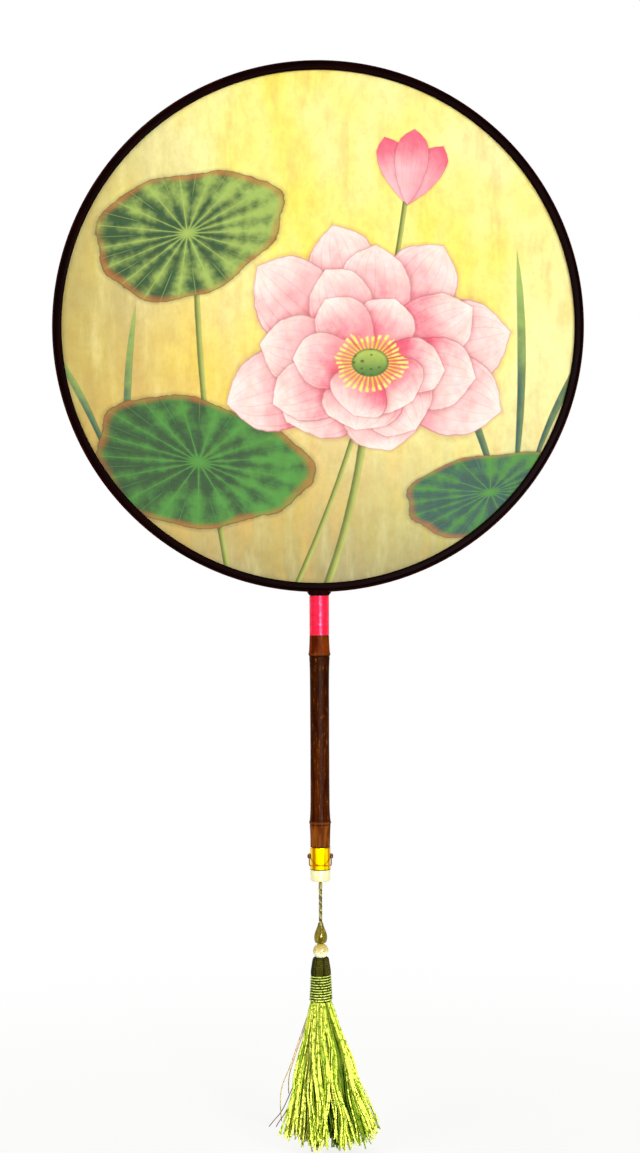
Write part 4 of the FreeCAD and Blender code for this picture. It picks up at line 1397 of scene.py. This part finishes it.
def tassel_skirt(material):
    """The skirt of hanging locks."""
    draw = random.Random(SKIRT_SEED)
    paths = []
    for number in range(SKIRT_LOCKS):
        depth = SKIRT_OUTER * math.sqrt(SKIRT_CORE + (1 - SKIRT_CORE) * (number + 0.5) / SKIRT_LOCKS)
        paths += lock_paths(draw, number * GOLDEN_ANGLE, depth)
    shape = threads("skirt_threads", paths, SKIRT_THREAD_RADIUS, order=3, resolution=2)
    make_piece("skirt_threads", shape, material, "tassel_thread", "tassel", "tassel_skirt")


def stray_threads(material):
    """A few thin threads sprung out at the skirt's left."""
    paths = [[(Vector((x, STRAY_FRONT + STRAY_SWAY * math.sin(STRAY_WAVES * z), NECK_FOOT + z)), 1.0)
              for x, z in places] for places in STRAYS]
    shape = threads("stray_threads", paths, STRAY_RADIUS, order=3, resolution=5)
    make_piece("stray_threads", shape, material, "tassel_thread", "tassel")


# Finishes
PULP = (4.0, 0.7, 0.0)
lacquer = lacquered_bamboo()
bare_bamboo = mottled("raw_bamboo", (3800, 3800, 60), colour(196, 158, 98), colour(226, 196, 138),
                      relief=0.00005)
lining_paper = mottled("lining_paper", (900, 900, 900), colour(222, 206, 170), colour(244, 234, 206),
                       grain=PULP, roughness=(0.9, 0.9), relief=0.00004)
wrap_paper = mottled("wrap_paper", (900, 900, 900), colour(120, 40, 34), colour(160, 60, 48),
                     grain=PULP, roughness=(0.9, 0.9), relief=0.00004)
# Painted shade: the bail's brass is much darker than the ferrule's.
shaded_bail_wire = mottled("shaded_brass_wire", (1500, 1500, 1500), colour(72, 34, 0), colour(150, 84, 4),
                     tones=(0.35, 0.7), roughness=(0.4, 0.55), relief=0.00001, Metallic=1.0)
oxide = mottled("dark_metal", (1500, 1500, 1500), colour(52, 34, 16), colour(120, 82, 34),
                tones=(0.45, 0.75), roughness=(0.34, 0.5), relief=0.00002, Metallic=0.85)
bone = mottled("pale_bone", (700, 700, 140), colour(252, 244, 178), colour(255, 252, 204),
               tones=(0.35, 0.7), grain=(3.0, 0.6, 0.4), roughness=(0.3, 0.42), relief=0.00002,
               Specular_IOR_Level=0.2, Subsurface_Weight=0.15, Subsurface_Radius=(0.002, 0.0014, 0.0008))
smoky_glass = mottled("smoky_glass", (300, 300, 160), colour(112, 94, 0), colour(164, 146, 24),
                      tones=(0.35, 0.7), grain=(3.0, 0.6, 0.6), roughness=(0.06, 0.2),
                      Transmission_Weight=0.62, IOR=1.38, Specular_Tint=colour(255, 250, 180))
red_thread = twisted_thread(
    "red_thread", colour(248, 0, 34), colour(255, 0, 42), colour(255, 20, 70),
    twists=1400, roughness=0.24, gloss=0.32, dye=colour(255, 190, 250), relief=0.00001)
olive = twisted_thread(
    "olive_cord", colour(30, 27, 0), colour(126, 116, 40), colour(220, 210, 120),
    twists=14, roughness=0.4, gloss=0.1, dye=colour(255, 250, 200))
yarn = twisted_thread(
    "tassel_thread", colour(34, 72, 0), colour(210, 255, 14), colour(252, 255, 108),
    twists=28, roughness=0.36, gloss=0.08, dye=colour(240, 255, 140), shadow=skirt_shadow)
stray_yarn = twisted_thread(
    "stray_thread", colour(92, 60, 10), colour(170, 130, 50), colour(214, 184, 96),
    twists=30, roughness=0.4, gloss=0.1, dye=colour(255, 240, 200))
# Painted shade: the head's threads are the skirt's yarn in near-black tones, the shade of its folded top.
shaded_folded_yarn = twisted_thread(
    "shaded_folded_thread", colour(4, 8, 0), colour(26, 26, 0), colour(80, 76, 18),
    twists=9, roughness=0.4, gloss=0.06, dye=colour(255, 250, 150), shadow=neck_shadow)
bound_yarn = twisted_thread(
    "binding_thread", colour(44, 74, 0), colour(142, 174, 20), colour(228, 246, 114),
    twists=150, roughness=0.36, gloss=0.1, dye=colour(245, 255, 160), dashes=600)

# Pieces
edge_band(lacquer)
rim_hoop("front", 1, lacquer)
rim_hoop("back", -1, lacquer)
silk_sheet("silk_front", "painted_silk", -1, painted_silk(), "painted_silk")
silk_sheet("silk_back", "back_silk", 1, plain_silk(), "plain_silk")
bamboo_handle(brown_bamboo())
red_wrap(red_thread)
brass_ferrule(brass())
cross_pin(oxide)
hanging_bail(shaded_bail_wire)
bone_plug(bone)
cord_points = cord_line()
cord = hanging_cord(cord_points, olive)
knot = hitch_knot(olive)
plug_cord(olive)
drop = drop_bead(smoky_glass)
pearl = pearl_bead(pearl_glass())
head = tassel_head(shaded_folded_yarn)
neck = tassel_binding(bound_yarn)
tassel_skirt(yarn)
stray_threads(stray_yarn)
for node, finish in (("silk_lining", lining_paper), ("hoop_tang", bare_bamboo), ("tang_peg", bare_bamboo),
                     ("wrap_sleeve", wrap_paper), ("neck_collar", lacquer)):
    dress_node(node, finish)

# Floor, light and camera
WHITE = (1, 1, 1, 1)
WORLD_FILL = 0.42
FLOOR_GAP = 0.004
FLOOR_HALF = 6.0
FLOOR_FADE = (0.04, 0.5, 0.82, 1.0)
LAMPS = (
    # name, place, aim, width and height in metres, power in watts
    ("key_lamp", (0.9, -1.6, 0.6), (0, 0, 0.06), 0.9, 0.9, 19),
    ("strip_lamp", (0.38, -1.7, 0.0), (0, 0, 0), 0.36, 0.8, 140),
    ("tassel_lamp", (0.18, -0.5, -0.14), (0.002, 0.0, -0.170), 0.05, 0.05, 0.04),
    ("fill_lamp", (-1.2, -1.3, 0.7), FACE_CENTRE, 1.0, 1.0, 10),
    ("back_lamp", (-0.6, 1.6, 1.0), FACE_CENTRE, 1.0, 1.0, 18),
)
TASSEL_BEAM = math.radians(16)
CAMERA_AIM = Vector((0.00043, 0, 0.0761))
CAMERA_AWAY = 0.9
CAMERA_ROLL = math.radians(0.25)
FRAME_HEIGHT = 0.5428
SENSOR = 36.0


def pale_floor():
    """A pale floor that fades into the white background and keeps the tassel's shadow near it."""
    shape = bmesh.new()
    bmesh.ops.create_grid(shape, x_segments=2, y_segments=2, size=FLOOR_HALF)
    bmesh.ops.translate(shape, vec=(0, 0, cad_low.z - FLOOR_GAP), verts=shape.verts)
    mesh = baked("floor", shape)
    material, recipe = new_finish("pale_floor")
    x, y, _ = recipe.split(recipe.place())
    factor = recipe.seen() * recipe.step(recipe.length(x, y), *FLOOR_FADE)
    matt = recipe.node("ShaderNodeBsdfDiffuse", {"Color": colour(236, 234, 228)})
    glow = recipe.node("ShaderNodeEmission", {"Color": WHITE, "Strength": 1.0})
    mixed = recipe.node("ShaderNodeMixShader", {0: factor, 1: matt, 2: glow})
    recipe.add("ShaderNodeOutputMaterial", {"Surface": mixed})
    mesh.materials.append(material)
    floor = new_object("floor", mesh)


def white_world():
    """A white background for what is seen, and a weaker soft fill for what is lit."""
    world = bpy.data.worlds.new("white_room")
    world.use_nodes = True
    world.node_tree.nodes.clear()
    recipe = Recipe(world.node_tree)
    strength = recipe.seen() * (1.0 - WORLD_FILL) + WORLD_FILL
    sky = recipe.node("ShaderNodeBackground", {"Color": WHITE, "Strength": strength})
    recipe.add("ShaderNodeOutputWorld", {"Surface": sky})
    bpy.context.scene.world = world


def soft_lamp(name, place, aim, width, height, power):
    """A soft lamp of a given width and height."""
    lamp = bpy.data.lights.new(name, "AREA")
    lamp.shape = "RECTANGLE"
    lamp.size = width
    lamp.size_y = height
    lamp.energy = power
    holder = new_object(name, lamp)
    holder.location = place
    holder.rotation_euler = (Vector(aim) - Vector(place)).to_track_quat("-Z", "Y").to_euler()
    return holder


def photo_camera():
    """The camera that sees the fan as the photograph does."""
    camera = bpy.data.cameras.new("photo_view")
    camera.sensor_width = SENSOR
    camera.lens = SENSOR * CAMERA_AWAY / FRAME_HEIGHT
    viewer = new_object("photo_view", camera)
    viewer.location = CAMERA_AIM + FRONT * CAMERA_AWAY
    viewer.rotation_euler = (QUARTER, CAMERA_ROLL, 0)
    bpy.context.scene.camera = viewer


pale_floor()
white_world()
lamps = {lamp[0]: soft_lamp(*lamp) for lamp in LAMPS}
lamps["strip_lamp"].visible_diffuse = False
lamps["tassel_lamp"].data.spread = TASSEL_BEAM
photo_camera()
bpy.context.scene.view_settings.view_transform = "Standard"
